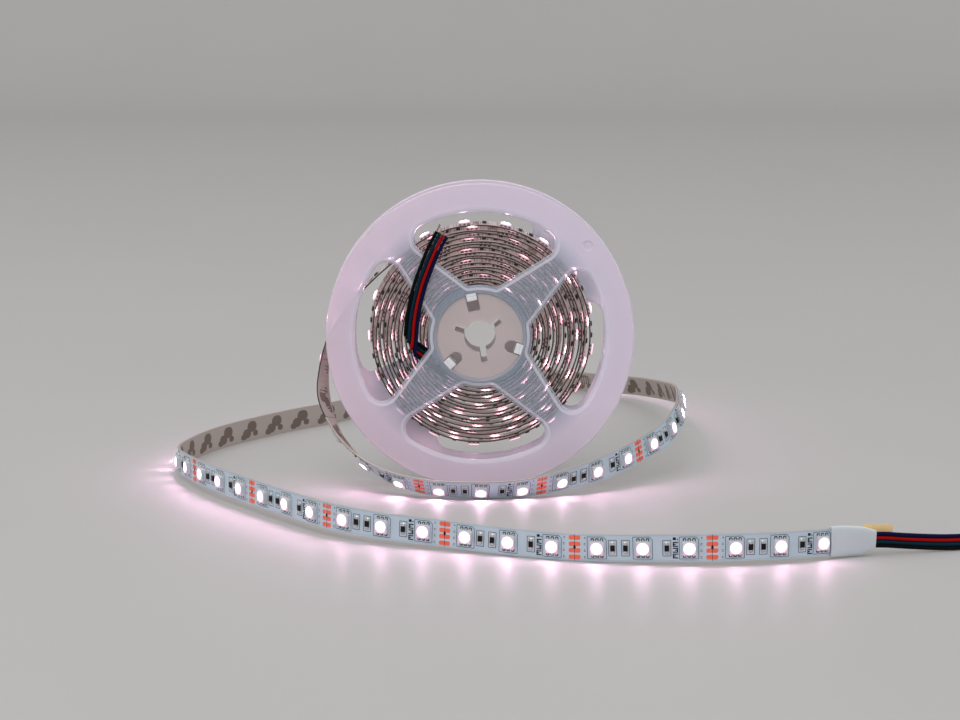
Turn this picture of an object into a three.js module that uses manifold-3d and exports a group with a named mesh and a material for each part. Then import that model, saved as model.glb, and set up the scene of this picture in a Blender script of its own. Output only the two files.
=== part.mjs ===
// A plastic reel of flexible light strip, part unwound, in millimetres with +Z up.
// The reel stands on its rim with its axis along Y. The strip leaves the coil at the
// upper left, comes out between the flanges and lies in one loose loop on the table.

import * as THREE from "three";
import { mergeVertices } from "three/addons/utils/BufferGeometryUtils.js";
import Module from "manifold-3d";

const wasm = await Module();
wasm.setup();

// Reel
const flangeRadius = 62.5;
const flangeThickness = 1.4;
const flangeGap = 12;
const rimSides = 72;
const rimInnerRadius = 50.7;
const windowCorner = 5.5;
const windowInnerCorner = 1.5;
const windowBevelWidth = 1.6;
const windowBevelDepth = 0.9;
const dimpleRadius = 2;
const dimpleDepth = 0.4;
const dimpleOrbit = 57.1;
const dimpleAngle = 40.6;
const cornerSteps = 5;
const innerCornerSteps = 2;
const windowOuterSteps = 8;
const windowInnerSteps = 4;

// Webs between the rim and the hub: centre angle, then the half width near the hub and near the rim
const webNearRadius = 21.6;
const webFarRadius = 45.3;
const frontWebs = [
  { angle: 42.3, near: 9.8, far: 5.4 },
  { angle: 132.3, near: 9.8, far: 5.4 },
  { angle: 222.3, near: 9.8, far: 5.4 },
  { angle: 312.3, near: 9.8, far: 5.4 },
];
const rearWebs = [
  { angle: 39, near: 11, far: 19 },
  { angle: 132, near: 9, far: 5 },
  { angle: 224, near: 11, far: 19 },
  { angle: 312, near: 9, far: 5 },
];

// Hub
const hubWindowRadius = 21.2;
const barrelRadius = 19.9;
const barrelWall = 1.8;
const hubFloorRecess = 0.8;
const spindleRadius = 6.4;
const spindleSlotWidth = 2.5;
const spindleSlotReach = 10.6;
const spindleSlotAngles = [40, 160, 280];
const clipAngles = [102, 222, 342];
const clipOpeningWidth = 5;
const clipOpeningInner = 10.6;
const clipWidth = 4.2;
const clipThickness = 1.9;
const clipNose = 1.2;
const clipNoseHeight = 0.5;
const clipMargin = 0.9;
const hubSides = 48;
const boreSides = 32;
const smallSides = 16;
const clearance = 0.3;
const proud = 0.2;

// Strip
const stripWidth = 10;
const boardThickness = 0.3;
const tapeThickness = 0.25;
const tapeGap = 0.1;
const unitLength = 50;
const boardLength = 500;
const boardsUnwound = 2;
const ledOffsets = [8.33, 25, 41.67];
const bendOffsets = [0, 16.5, 30.5];
const ledSize = 5;
const ledHeight = 1.5;
const woundLedHeight = 1.2;
const coveredLedHeight = 0.5;
const uncoveredDegrees = 330;
const resistorOffsets = [14, 18.7, 33.6];
const resistorLength = 3.2;
const resistorWidth = 1.7;
const resistorHeight = 0.6;
const bedding = 0.1;

// Coil
const coilOffset = 0.7;
const coilOuterRadius = 45.5;
const coilOuterAngle = 130;
const coilInnerAngle = 214;
const coilWholeTurns = 16;

// Wires and the strip's outer end
const wireDiameter = 1.4;
const wirePitch = 1.52;
const wireSides = 8;
const conductorDiameter = 0.8;
const conductorGap = 0.1;
const outerTipLength = 6;
const innerTipLengths = [4.5, 1.2, 2, 1.2];
const sleeveOverStrip = 5;
const sleeveShoulder = 3.8;
const sleeveNeck = 8;
const sleeveEnd = 9.8;
const sleeveTaper = 0.5;
const sleeveRoom = 0.35;
const sleeveBulge = 0.2;
const sleeveSquareness = 0.45;
const sleeveWall = 0.35;
const tabThickness = 0.2;
const tabHeight = 5.4;
const tabLength = 12;
const tabPastSleeve = 7.7;
const tabRise = 2.6;

const halfGap = flangeGap / 2;
const outerFace = halfGap + flangeThickness;
const reelHeight = flangeRadius * Math.cos(Math.PI / rimSides);
const reelCentre = new THREE.Vector3(0, 0, reelHeight);
const stripHalf = stripWidth / 2;
const wireColours = ["black", "green", "red", "blue"];

// Middle of the strip's width, from the coil to the outer end, then the way its width points.
// The first point is the end of the coil and is worked out below.
const stripRoute = [
  [-41.4, 0.7, 87.2, 0, -1, 0],
  [-52, 0.7, 76, 0, -1, 0],
  [-61.3, 0.2, 61.5, -0.08, -1, 0],
  [-63.8, -1.6, 48, -0.32, -0.94, 0],
  [-63.6, -4.8, 36.5, -0.38, -0.92, 0],
  [-59, -9.5, 25.2, -0.1, -0.98, 0],
  [-51, -15, 16, 0, -0.98, 0.16],
  [-39.5, -22, 8.8, 0, -0.84, 0.54],
  [-23, -28, 5, 0, -0.7, 0.71],
  [-3.3, -31, 4.1, 0, -0.64, 0.77],
  [17, -28.5, 4.3, 0, -0.6, 0.8],
  [36, -22, 6.8, 0, -0.42, 0.9],
  [52, -12, 10, 0, -0.12, 0.99],
  [66, 1.5, 13.9, 0, 0, 1],
  [77.5, 15, 18.3, -0.15, 0.1, 1],
  [84.6, 36, 22.5, -0.25, 0.25, 0.93],
  [87, 64, 23, -0.28, 0.4, 0.87],
  [88.5, 96, 19.5, -0.4, 0.2, 0.9],
  [87.5, 127, 15, -0.4, 0, 0.91],
  [83, 157, 11, -0.38, -0.1, 0.92],
  [73, 183, 8, -0.25, -0.33, 0.91],
  [55, 202, 6, -0.05, -0.3, 0.95],
  [31, 216, 5.2, 0, -0.1, 1],
  [2, 214, 5, 0, 0, 1],
  [-25, 194.5, 5, 0, 0, 1],
  [-46, 165.5, 5, 0, 0, 1],
  [-64, 134.5, 5, 0, 0, 1],
  [-84.5, 112.5, 5, 0, 0, 1],
  [-102, 90, 5, 0, 0, 1],
  [-116, 67.5, 5, 0, 0, 1],
  [-124.5, 43, 5.2, 0, 0, 1],
  [-126, 18, 6.6, 0, 0, 1],
  [-119, -5, 8, 0, 0, 1],
  [-108, -26, 8.5, 0, 0, 1],
  [-94, -47, 8.6, 0, 0, 1],
  [-77, -70, 8.5, 0, 0, 1],
  [-58, -92.5, 8.2, 0, 0, 1],
  [-37, -105.5, 7.2, 0, 0, 1],
  [-14.5, -114, 6.4, 0, 0, 1],
  [10, -123, 5.4, 0, 0, 1],
  [34, -130.5, 5.1, 0, 0, 1],
  [60, -135.5, 6, 0, 0, 1],
  [86, -136.6, 6.5, 0, 0, 1],
  [110, -133, 6.4, 0, 0, 1],
  [132.2, -125.4, 6.2, 0, 0, 1],
];

// Middle of the outer lead, from inside the sleeve to the wires' ends
const outerLeadRoute = [
  [135.2, -124.4, 6.1, 0, 0, 1],
  [141, -122.6, 5.9, 0, 0, 1],
  [148, -120.6, 5.5, 0, 0, 1],
  [156, -118.6, 4.6, 0, 0, 1],
  [164, -116.8, 3.8, 0, 0.08, 1],
  [172, -115, 3.2, 0, 0.2, 0.97],
  [181, -112.8, 3, 0, 0.32, 0.93],
  [190, -110, 2.8, 0, 0.5, 0.85],
  [199, -106.4, 2.4, 0, 0.75, 0.62],
  [207.5, -102, 1.5, -0.2, 0.95, 0.25],
  [215.5, -96.6, 0.9, -0.4, 0.9, 0.03],
  [222.5, -90.4, 0.85, -0.6, 0.8, 0],
  [228, -83.4, 0.85, -0.78, 0.62, 0],
];

// The inner lead comes out flat against the coil, folds over itself and climbs in front of a web
const innerLeadHub = [-17.5, 51];
const innerLeadFold = [-28.3, 58.9];
const innerLeadClimb = [
  [-28, 61.5],
  [-27.1, 68.5],
  [-25.4, 75.5],
  [-23.2, 82.3],
  [-20.7, 89],
  [-18.2, 95.5],
  [-15.3, 101.8],
];
const foldRounding = 1.5;
const innerLeadBack = (coilOffset - stripHalf - halfGap) / 2;
const innerLeadFront = -(outerFace + wireDiameter / 2 + proud);

const radians = (degrees) => (degrees * Math.PI) / 180;
const polar = (radius, degrees) =>
  new THREE.Vector2(radius * Math.cos(radians(degrees)), radius * Math.sin(radians(degrees)));

// Turns a closed three.js geometry into a solid that can be joined and cut
function toSolid(geometry) {
  const bare = geometry.clone();
  bare.deleteAttribute("normal");
  bare.deleteAttribute("uv");
  const merged = mergeVertices(bare, 1e-5);
  return new wasm.Manifold(
    new wasm.Mesh({
      numProp: 3,
      vertProperties: new Float32Array(merged.attributes.position.array),
      triVerts: new Uint32Array(merged.index.array),
    }),
  );
}

function toGeometry(solid) {
  const mesh = solid.getMesh();
  const geometry = new THREE.BufferGeometry();
  geometry.setAttribute("position", new THREE.BufferAttribute(mesh.vertProperties, 3));
  geometry.setIndex(new THREE.BufferAttribute(mesh.triVerts, 1));
  geometry.computeVertexNormals();
  return geometry;
}

// Closed body through rings of equally many points, first and last ring capped.
// Faces across from each other are split along matching diagonals, so that twisted layers stay apart.
function loft(rings) {
  const count = rings[0].length;
  const positions = rings.flatMap((ring) => ring.flatMap((point) => [point.x, point.y, point.z]));
  const index = [];
  for (let ring = 0; ring + 1 < rings.length; ring += 1) {
    for (let side = 0; side < count; side += 1) {
      const a = ring * count + side;
      const b = ring * count + ((side + 1) % count);
      if (side < count / 2) {
        index.push(a, b, b + count, a, b + count, a + count);
      } else {
        index.push(a, b, a + count, b, b + count, a + count);
      }
    }
  }
  const cap = THREE.ShapeUtils.triangulateShape(flatten(rings[0]), []);
  const end = THREE.ShapeUtils.triangulateShape(flatten(rings[rings.length - 1]), []);
  const last = (rings.length - 1) * count;
  cap.forEach(([a, b, c]) => index.push(a, c, b));
  end.forEach(([a, b, c]) => index.push(last + a, last + b, last + c));
  const geometry = new THREE.BufferGeometry();
  geometry.setAttribute("position", new THREE.Float32BufferAttribute(positions, 3));
  geometry.setIndex(index);
  return outwards(geometry);
}

// A ring's points in its own plane, running the same way round as the ring
function flatten(ring) {
  const across = ring[1].clone().sub(ring[0]).normalize();
  const normal = new THREE.Vector3();
  ring.forEach((point, place) => {
    const next = ring[(place + 1) % ring.length];
    normal.add(point.clone().cross(next));
  });
  const up = normal.normalize().cross(across).normalize();
  return ring.map((point) => new THREE.Vector2(point.dot(across), point.dot(up)));
}

// Turns the faces over if they point inwards
function outwards(geometry) {
  const { array } = geometry.attributes.position;
  const index = geometry.index.array;
  const corner = (place) => new THREE.Vector3().fromArray(array, index[place] * 3);
  let volume = 0;
  for (let place = 0; place < index.length; place += 3) {
    volume += corner(place).dot(corner(place + 1).cross(corner(place + 2)));
  }
  if (volume < 0) {
    for (let place = 0; place < index.length; place += 3) {
      [index[place + 1], index[place + 2]] = [index[place + 2], index[place + 1]];
    }
  }
  geometry.computeVertexNormals();
  return geometry;
}

// Upright prism on an outline in the XY plane, from z = low to z = high
function prism(points, low, high) {
  const geometry = new THREE.ExtrudeGeometry(new THREE.Shape(points), {
    depth: high - low,
    bevelEnabled: false,
  });
  return toSolid(geometry.translate(0, 0, low));
}

function polygon(radius, sides, turn = 0) {
  return Array.from({ length: sides }, (_, side) => polar(radius, turn + (side * 360) / sides));
}

// Bar along a radius of the reel, from radius start to radius end
function radialBar(angle, start, end, width, low, high) {
  const box = new THREE.BoxGeometry(end - start, width, high - low);
  box.translate((start + end) / 2, 0, (low + high) / 2);
  return toSolid(box.rotateZ(radians(angle)));
}

const arc = (centre, radius, from, to, steps) =>
  Array.from({ length: steps + 1 }, (_, step) => {
    const angle = from + ((to - from) * step) / steps;
    return new THREE.Vector2(Math.cos(angle), Math.sin(angle)).multiplyScalar(radius).add(centre);
  });

// Edge of a web on the side of a window, and the way from that edge into the window
function webEdge(web, side, grow) {
  const along = polar(1, web.angle);
  const across = new THREE.Vector2(-along.y, along.x).multiplyScalar(side);
  const near = along.clone().multiplyScalar(webNearRadius).addScaledVector(across, web.near);
  const far = along.clone().multiplyScalar(webFarRadius).addScaledVector(across, web.far);
  const direction = far.sub(near).normalize();
  const inwards = new THREE.Vector2(-direction.y, direction.x).multiplyScalar(side);
  return { start: near.addScaledVector(inwards, -grow), direction, inwards };
}

// Centre of the rounding that touches a web's edge and a circle about the reel's axis
function roundingCentre(edge, rounding, distance) {
  const foot = edge.start.clone().addScaledVector(edge.inwards, rounding);
  const lead = foot.dot(edge.direction);
  const travel = Math.sqrt(lead ** 2 - foot.lengthSq() + distance ** 2) - lead;
  return foot.addScaledVector(edge.direction, travel);
}

// Outline of the window between two webs, wider all round by grow
function windowOutline(first, second, grow) {
  const outer = rimInnerRadius + grow;
  const inner = hubWindowRadius - grow;
  const outerCorner = windowCorner + grow;
  const innerCorner = windowInnerCorner + grow;
  const edges = [webEdge(first, 1, grow), webEdge(second, -1, grow)];
  const [farA, farB] = edges.map((edge) => roundingCentre(edge, outerCorner, outer - outerCorner));
  const [nearA, nearB] = edges.map((edge) => roundingCentre(edge, innerCorner, inner + innerCorner));
  const angle = (vector, after) => {
    const value = Math.atan2(vector.y, vector.x);
    return after === undefined ? value : value + 2 * Math.PI * Math.ceil((after - value) / (2 * Math.PI));
  };
  const towards = (vector) => vector.clone().negate();
  const origin = new THREE.Vector2();
  const corner = (centre, radius, from, to, steps) => {
    const start = angle(from);
    return arc(centre, radius, start, angle(to, start), steps);
  };
  const outerStart = angle(farA);
  const innerEnd = angle(nearA);
  return [
    ...corner(nearA, innerCorner, towards(nearA), towards(edges[0].inwards), innerCornerSteps),
    ...corner(farA, outerCorner, towards(edges[0].inwards), farA, cornerSteps),
    ...arc(origin, outer, outerStart, angle(farB, outerStart), windowOuterSteps).slice(1, -1),
    ...corner(farB, outerCorner, farB, towards(edges[1].inwards), cornerSteps),
    ...corner(nearB, innerCorner, towards(edges[1].inwards), towards(nearB), innerCornerSteps),
    ...arc(origin, inner, angle(nearB, innerEnd), innerEnd, windowInnerSteps).slice(1, -1),
  ];
}

// Window cutter: straight through, with a bevel that opens towards the outer face
function windowCutter(first, second) {
  const deep = outerFace - windowBevelDepth;
  const slope = windowBevelWidth / windowBevelDepth;
  const level = (grow, height) =>
    windowOutline(first, second, grow).map((point) => new THREE.Vector3(point.x, point.y, height));
  return toSolid(
    loft([
      level(0, halfGap - proud),
      level(0, deep),
      level(windowBevelWidth + slope * proud, outerFace + proud),
    ]),
  );
}

// Flange plate in the reel's own frame: its outer face looks along +Z, the spindle is at the origin
function flangePlate(webs) {
  let plate = prism(polygon(flangeRadius, rimSides, 180 / rimSides), halfGap, outerFace);
  webs.forEach((web, place) => {
    const next = webs[(place + 1) % webs.length];
    plate = plate.subtract(windowCutter(web, next));
  });
  return plate;
}

// Centre hole with its drive slots
function spindleCutter(low, high) {
  const slots = spindleSlotAngles.map((angle) =>
    radialBar(angle, spindleRadius / 2, spindleSlotReach, spindleSlotWidth, low, high),
  );
  const bore = prism(polygon(spindleRadius, boreSides), low, high);
  return slots.reduce((cutter, slot) => cutter.add(slot), bore);
}

const barrelBore = barrelRadius - barrelWall;
const plugRadius = barrelBore - clearance;
const floorFace = outerFace - hubFloorRecess;
const floorBack = halfGap - hubFloorRecess;
const clipOuter = plugRadius - clipMargin;
const clipSeat = clipOuter + clearance;
const noseReach = clipOuter + clipNose;
const nosePocket = noseReach + 2 * clearance;

function frontFlange() {
  const well = prism(polygon(plugRadius, hubSides), floorFace, outerFace + proud);
  const plug = prism(polygon(plugRadius, hubSides), floorBack, halfGap + bedding);
  let flange = flangePlate(frontWebs).subtract(well).add(plug);
  flange = flange.subtract(spindleCutter(floorBack - proud, outerFace + proud));
  for (const angle of clipAngles) {
    const roundEnd = clipOpeningInner + clipOpeningWidth / 2;
    const centre = polar(roundEnd, angle);
    const end = polygon(clipOpeningWidth / 2, smallSides).map((point) => point.add(centre));
    const low = floorBack - proud;
    const high = outerFace + proud;
    flange = flange
      .subtract(prism(end, low, high))
      .subtract(radialBar(angle, roundEnd, clipSeat, clipOpeningWidth, low, high))
      .subtract(radialBar(angle, clipSeat - bedding, nosePocket, clipOpeningWidth, floorFace, high));
  }
  const orbit = polar(dimpleOrbit, dimpleAngle);
  const dimple = polygon(dimpleRadius, smallSides).map((point) => point.add(orbit));
  return flange.subtract(prism(dimple, outerFace - dimpleDepth, outerFace + proud));
}

// The rear flange carries the barrel that the coil sits on and the clips that hold the front flange
function rearFlange() {
  const mirrored = flangePlate(rearWebs.map((web) => ({ ...web, angle: 180 - web.angle })).reverse());
  let flange = mirrored.rotate([0, 180, 0]);
  const bore = prism(polygon(barrelBore, hubSides), -outerFace, halfGap);
  const barrel = prism(polygon(barrelRadius, hubSides), -halfGap - bedding, halfGap - clearance).subtract(bore);
  flange = flange.add(barrel).subtract(spindleCutter(-outerFace - proud, -halfGap + proud));
  const noseLow = floorFace + clearance;
  for (const angle of clipAngles) {
    const post = radialBar(
      angle, clipOuter - clipThickness, clipOuter, clipWidth, -halfGap - bedding, noseLow + clipNoseHeight,
    );
    const nose = radialBar(
      angle, clipOuter - bedding, noseReach, clipWidth, noseLow, noseLow + clipNoseHeight,
    );
    flange = flange.add(post).add(nose);
  }
  return flange;
}

// Frame of the strip at a place: its middle, the way it runs, its width and the way its lamps face
function frameAt(place, runs, width) {
  const run = runs.clone().normalize();
  const across = width.clone().addScaledVector(run, -width.dot(run)).normalize();
  return { place, run, across, out: run.clone().cross(across) };
}

const coilTurns = coilWholeTurns + (coilOuterAngle + 360 - coilInnerAngle) / 360;
const coilInnerRadius = barrelRadius + clearance + tapeThickness + boardThickness / 2;
const coilPitch = (coilOuterRadius - coilInnerRadius) / coilTurns;

// Frame on the coil, turns from its inner end
function coilFrame(turns) {
  const angle = radians(coilInnerAngle + turns * 360);
  const radius = coilInnerRadius + coilPitch * turns;
  const radial = new THREE.Vector3(Math.cos(angle), 0, Math.sin(angle));
  const tangent = new THREE.Vector3(-Math.sin(angle), 0, Math.cos(angle));
  const place = radial.clone().multiplyScalar(radius).add(reelCentre);
  place.y = coilOffset;
  return frameAt(place, tangent, new THREE.Vector3(0, -1, 0));
}

// A route given as rows of place and width, with frames at any distance along it
class Route {
  constructor(rows) {
    this.line = new THREE.CatmullRomCurve3(
      rows.map((row) => new THREE.Vector3(row[0], row[1], row[2])), false, "catmullrom", 0.5,
    );
    this.width = new THREE.CatmullRomCurve3(
      rows.map((row) => new THREE.Vector3(row[3], row[4], row[5])), false, "catmullrom", 0.5,
    );
    this.line.arcLengthDivisions = rows.length * 40;
    this.length = this.line.getLength();
  }

  at(distance) {
    const u = THREE.MathUtils.clamp(distance / this.length, 0, 1);
    const t = this.line.getUtoTmapping(u);
    return frameAt(this.line.getPoint(t), this.line.getTangent(t), this.width.getPoint(t));
  }
}

const coilEnd = coilFrame(coilTurns).place;
const loose = new Route([[coilEnd.x, coilEnd.y, coilEnd.z, 0, -1, 0], ...stripRoute]);

// Corners of a strip's section: from low to high along its normal, over its whole width
function stripRing(frame, low, high) {
  const corners = [[low, -stripHalf], [high, -stripHalf], [high, stripHalf], [low, stripHalf]];
  return corners.map(([normal, across]) =>
    frame.place.clone().addScaledVector(frame.out, normal).addScaledVector(frame.across, across),
  );
}

// The whole strip is one distance, from the inner end of the coil to the outer end
const coilLength = Math.PI * coilTurns * (coilInnerRadius + coilOuterRadius);
const stripLength = coilLength + loose.length;

function stripFrame(distance) {
  if (distance > coilLength) {
    return loose.at(distance - coilLength);
  }
  const radius = Math.sqrt(coilInnerRadius ** 2 + (coilPitch * distance) / Math.PI);
  return coilFrame((radius - coilInnerRadius) / coilPitch);
}

// Distances of what repeats in each unit of the strip, clear of the two ends by a margin
function repeats(offsets, from, to, margin) {
  const units = Math.ceil(stripLength / unitLength);
  const places = [];
  for (let unit = units; unit > 0; unit -= 1) {
    const cut = stripLength - unit * unitLength;
    places.push(...offsets.map((offset) => cut + offset));
  }
  return places.filter((place) => place > from + margin && place < to - margin);
}

// Frames where the strip bends: at both sides of each lamp and in between
function stripStations(from, to) {
  const reach = ledSize / 2 + 0.05;
  const offsets = ledOffsets.flatMap((offset) => [offset - reach, offset + reach]);
  const places = repeats([...offsets, ...bendOffsets], from, to, 0.5).sort((a, b) => a - b);
  return [from, ...places, to].map((distance) => ({ distance, ...stripFrame(distance) }));
}

// Frame on the flat between the two stations round a distance
function flatFrame(stations, distance) {
  const after = stations.findIndex((station) => station.distance > distance);
  const [start, end] = [stations[after - 1], stations[after]];
  const share = (distance - start.distance) / (end.distance - start.distance);
  const place = start.place.clone().lerp(end.place, share);
  return frameAt(place, end.place.clone().sub(start.place), start.across.clone().add(end.across));
}

// Block that stands on the strip's lamp side
function blockOn(frame, length, width, height) {
  const box = new THREE.BoxGeometry(length, width, height + bedding);
  const basis = new THREE.Matrix4().makeBasis(frame.run, frame.across, frame.out);
  const rise = boardThickness / 2 + (height - bedding) / 2;
  basis.setPosition(frame.place.clone().addScaledVector(frame.out, rise));
  return toSolid(box.applyMatrix4(basis));
}

// Length of strip between two heights along its normal
function ribbon(stations, low, high) {
  return loft(stations.map((station) => stripRing(station, low, high)));
}

// A soldered length of board with its lamps and resistors
function looseBoard(from, to) {
  const stations = stripStations(from, to);
  let board = toSolid(ribbon(stations, -boardThickness / 2, boardThickness / 2));
  for (const place of repeats(ledOffsets, from, to, ledSize)) {
    board = board.add(blockOn(flatFrame(stations, place), ledSize, ledSize, ledHeight));
  }
  for (const place of repeats(resistorOffsets, from, to, resistorWidth)) {
    const frame = flatFrame(stations, place);
    board = board.add(blockOn(frame, resistorWidth, resistorLength, resistorHeight));
  }
  return board;
}

function looseTape(from, to) {
  const high = -boardThickness / 2 - tapeGap;
  return ribbon(stripStations(from, to), high - tapeThickness, high);
}

// The wound strip, board and tape as one, from the hub out to the first solder joint.
// Its lamps lie low where the next turn covers them, and stand higher round the outside.
function woundStrip(to) {
  const covered = coilLength - coilOuterRadius * radians(uncoveredDegrees);
  const stations = stripStations(0, to);
  let strip = toSolid(ribbon(stations, -boardThickness / 2 - tapeThickness, boardThickness / 2));
  for (const place of repeats(ledOffsets, 0, to, ledSize)) {
    const height = place > covered ? woundLedHeight : coveredLedHeight;
    strip = strip.add(blockOn(flatFrame(stations, place), ledSize, ledSize, height));
  }
  return strip;
}

// Curve whose steps fall on its own points, so that a tight bend gets more of them
class WireCurve extends THREE.CatmullRomCurve3 {
  constructor(points) {
    super(points, false, "centripetal");
  }

  getUtoTmapping(u) {
    return u;
  }
}

// Round bar along a curve
function rod(curve, diameter, steps) {
  const section = new THREE.Shape(polygon(diameter / 2, wireSides, 180 / wireSides));
  return new THREE.ExtrudeGeometry(section, { steps, extrudePath: curve, bevelEnabled: false });
}

function wireBody(points) {
  return rod(new WireCurve(points), wireDiameter, points.length - 1);
}

const wireOffset = (wire) => (wire - (wireColours.length - 1) / 2) * wirePitch;

// Wire of the outer lead: black lies lowest, blue highest
function outerWirePoints(wire) {
  const offset = wireOffset(wire);
  const route = new Route(outerLeadRoute);
  return outerLeadRoute.map((row, place) => {
    const t = place / (outerLeadRoute.length - 1);
    const frame = frameAt(route.line.getPoint(t), route.line.getTangent(t), route.width.getPoint(t));
    return frame.place.addScaledVector(frame.across, offset);
  });
}

// Wire of the inner lead: black is on top behind the web and on the left where the lead climbs
function innerWirePoints(wire) {
  const offset = -wireOffset(wire);
  const hub = new THREE.Vector2(...innerLeadHub);
  const fold = new THREE.Vector2(...innerLeadFold);
  const run = fold.clone().sub(hub).normalize();
  const upper = new THREE.Vector2(-run.y, run.x).multiplyScalar(-1);
  const climb = innerLeadClimb.map((pair) => new THREE.Vector2(...pair));
  const rise = climb[1].clone().sub(climb[0]).normalize();
  const left = new THREE.Vector2(-rise.y, rise.x);
  const origin = hub.clone().addScaledVector(upper, offset);
  const target = fold.clone().addScaledVector(left, offset);
  const gap = target.clone().sub(origin);
  const travel = (gap.x * rise.y - gap.y * rise.x) / (run.x * rise.y - run.y * rise.x);
  const corner = origin.clone().addScaledVector(run, travel);
  const axis = new THREE.Vector2(reelCentre.x, reelCentre.z);
  const lead = origin.clone().sub(axis);
  const hubRadius = barrelRadius + wireDiameter / 2 + clearance;
  const past = lead.dot(run) ** 2 - lead.lengthSq() + hubRadius ** 2;
  const start = Math.sqrt(Math.max(past, 0)) - lead.dot(run);
  const back = (distance) => origin.clone().addScaledVector(run, distance);
  const deep = (flat, depth) => new THREE.Vector3(flat.x, depth, flat.y);
  const short = (1 - Math.SQRT1_2) * foldRounding;
  const points = [
    deep(back(start), innerLeadBack),
    deep(back((start + travel - foldRounding) / 2), innerLeadBack),
    deep(back(travel - foldRounding), innerLeadBack),
    deep(back(travel - short), innerLeadBack - short),
    deep(corner, (innerLeadBack + innerLeadFront) / 2),
    deep(corner.clone().addScaledVector(rise, short), innerLeadFront + short),
    deep(corner.clone().addScaledVector(rise, foldRounding), innerLeadFront),
  ];
  climb.forEach((point, place) => {
    const before = climb[Math.max(place - 1, 0)];
    const after = climb[Math.min(place + 1, climb.length - 1)];
    const way = after.clone().sub(before).normalize();
    const side = point.clone().add(new THREE.Vector2(-way.y, way.x).multiplyScalar(offset));
    if (side.y > corner.y + 2 * foldRounding) {
      points.push(deep(side, innerLeadFront));
    }
  });
  return points;
}

// Bare end of a wire's conductor, in line with the wire
function tip(points, length) {
  const end = points[points.length - 1];
  const way = end.clone().sub(points[points.length - 2]).normalize();
  const from = end.clone().addScaledVector(way, conductorGap);
  const to = end.clone().addScaledVector(way, length);
  return rod(new THREE.LineCurve3(from, to), conductorDiameter, 1);
}

// Half depth inside the sleeve over the strip and over the wires
const stripDepth = (boardThickness + tapeGap + tapeThickness) / 2 + 1.5 * sleeveRoom;
const wireDepth = wireDiameter / 2 + sleeveRoom;

// Shrunk sleeve over the strip's outer end: an open flat tube that narrows to the wires
function sleeve() {
  const lead = new Route(outerLeadRoute);
  const wide = stripHalf + clearance;
  const narrow = ((wireColours.length - 1) * wirePitch + wireDiameter) / 2 + clearance;
  const stations = [
    { frame: loose.at(loose.length - sleeveOverStrip), height: wide, depth: stripDepth },
    { frame: loose.at(loose.length), height: wide, depth: wireDepth },
    { frame: lead.at(sleeveShoulder), height: wide - sleeveTaper, depth: wireDepth + sleeveBulge },
    { frame: lead.at(sleeveNeck), height: narrow + sleeveTaper, depth: wireDepth + sleeveBulge / 2 },
    { frame: lead.at(sleeveEnd), height: narrow, depth: wireDepth },
  ];
  const ring = (station, wall) =>
    Array.from({ length: smallSides }, (_, side) => {
      const angle = ((side + 0.5) / smallSides) * 2 * Math.PI;
      const square = (value) => Math.sign(value) * Math.abs(value) ** sleeveSquareness;
      const across = square(Math.sin(angle)) * (station.height + wall);
      const out = square(Math.cos(angle)) * (station.depth + wall) - tapeThickness / 2;
      const { frame } = station;
      return frame.place.clone().addScaledVector(frame.out, out).addScaledVector(frame.across, across);
    });
  const moved = (station, distance) => {
    const place = station.frame.place.clone().addScaledVector(station.frame.run, distance);
    return { ...station, frame: { ...station.frame, place } };
  };
  const last = stations.length - 1;
  const inner = [moved(stations[0], -1), ...stations.slice(1, last), moved(stations[last], 1)];
  const skin = toSolid(loft(stations.map((station) => ring(station, sleeveWall))));
  return skin.subtract(toSolid(loft(inner.map((station) => ring(station, 0)))));
}

// Thin amber tab behind the sleeve that stands out past it, above the wires
function endTab() {
  const lead = new Route(outerLeadRoute);
  const frame = lead.at(sleeveEnd + tabPastSleeve - tabLength / 2);
  const behind = wireDepth + sleeveBulge + sleeveWall + (tapeThickness + tabThickness) / 2 + 2 * bedding;
  const box = new THREE.BoxGeometry(tabLength, tabHeight, tabThickness);
  const basis = new THREE.Matrix4().makeBasis(frame.run, frame.across, frame.out);
  const place = frame.place.clone();
  place.addScaledVector(frame.across, tabRise).addScaledVector(frame.out, -behind);
  return box.applyMatrix4(basis.setPosition(place));
}

const plastic = (color, roughness, extra = {}) =>
  new THREE.MeshStandardMaterial({ color, roughness, metalness: 0, ...extra });

const materials = {
  reel: plastic(0xcdc3d6, 0.35, { transparent: true, opacity: 0.75 }),
  wound: plastic(0xa59b9a, 0.4),
  board: plastic(0xb2c0cd, 0.4),
  tape: plastic(0xbeb4b2, 0.6),
  sleeve: plastic(0xdfe0e2, 0.35, { transparent: true, opacity: 0.6 }),
  tab: plastic(0xd9b27c, 0.4),
  tinned: new THREE.MeshStandardMaterial({ color: 0xb9b4ac, roughness: 0.35, metalness: 1 }),
  black: plastic(0x0c0e12, 0.4),
  green: plastic(0x12343c, 0.4),
  red: plastic(0xa01722, 0.4),
  blue: plastic(0x161c44, 0.4),
};

const part = new THREE.Group();
const cordPieces = new Set();

function addPiece(name, geometry, material, group = part) {
  const mesh = new THREE.Mesh(geometry, material);
  mesh.name = name;
  group.add(mesh);
  return mesh;
}

const reel = new THREE.Group();
reel.rotation.x = Math.PI / 2;
reel.position.copy(reelCentre);
part.add(reel);
addPiece("front_flange", toGeometry(frontFlange()), materials.reel, reel);
addPiece("rear_flange", toGeometry(rearFlange()), materials.reel, reel);

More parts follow.
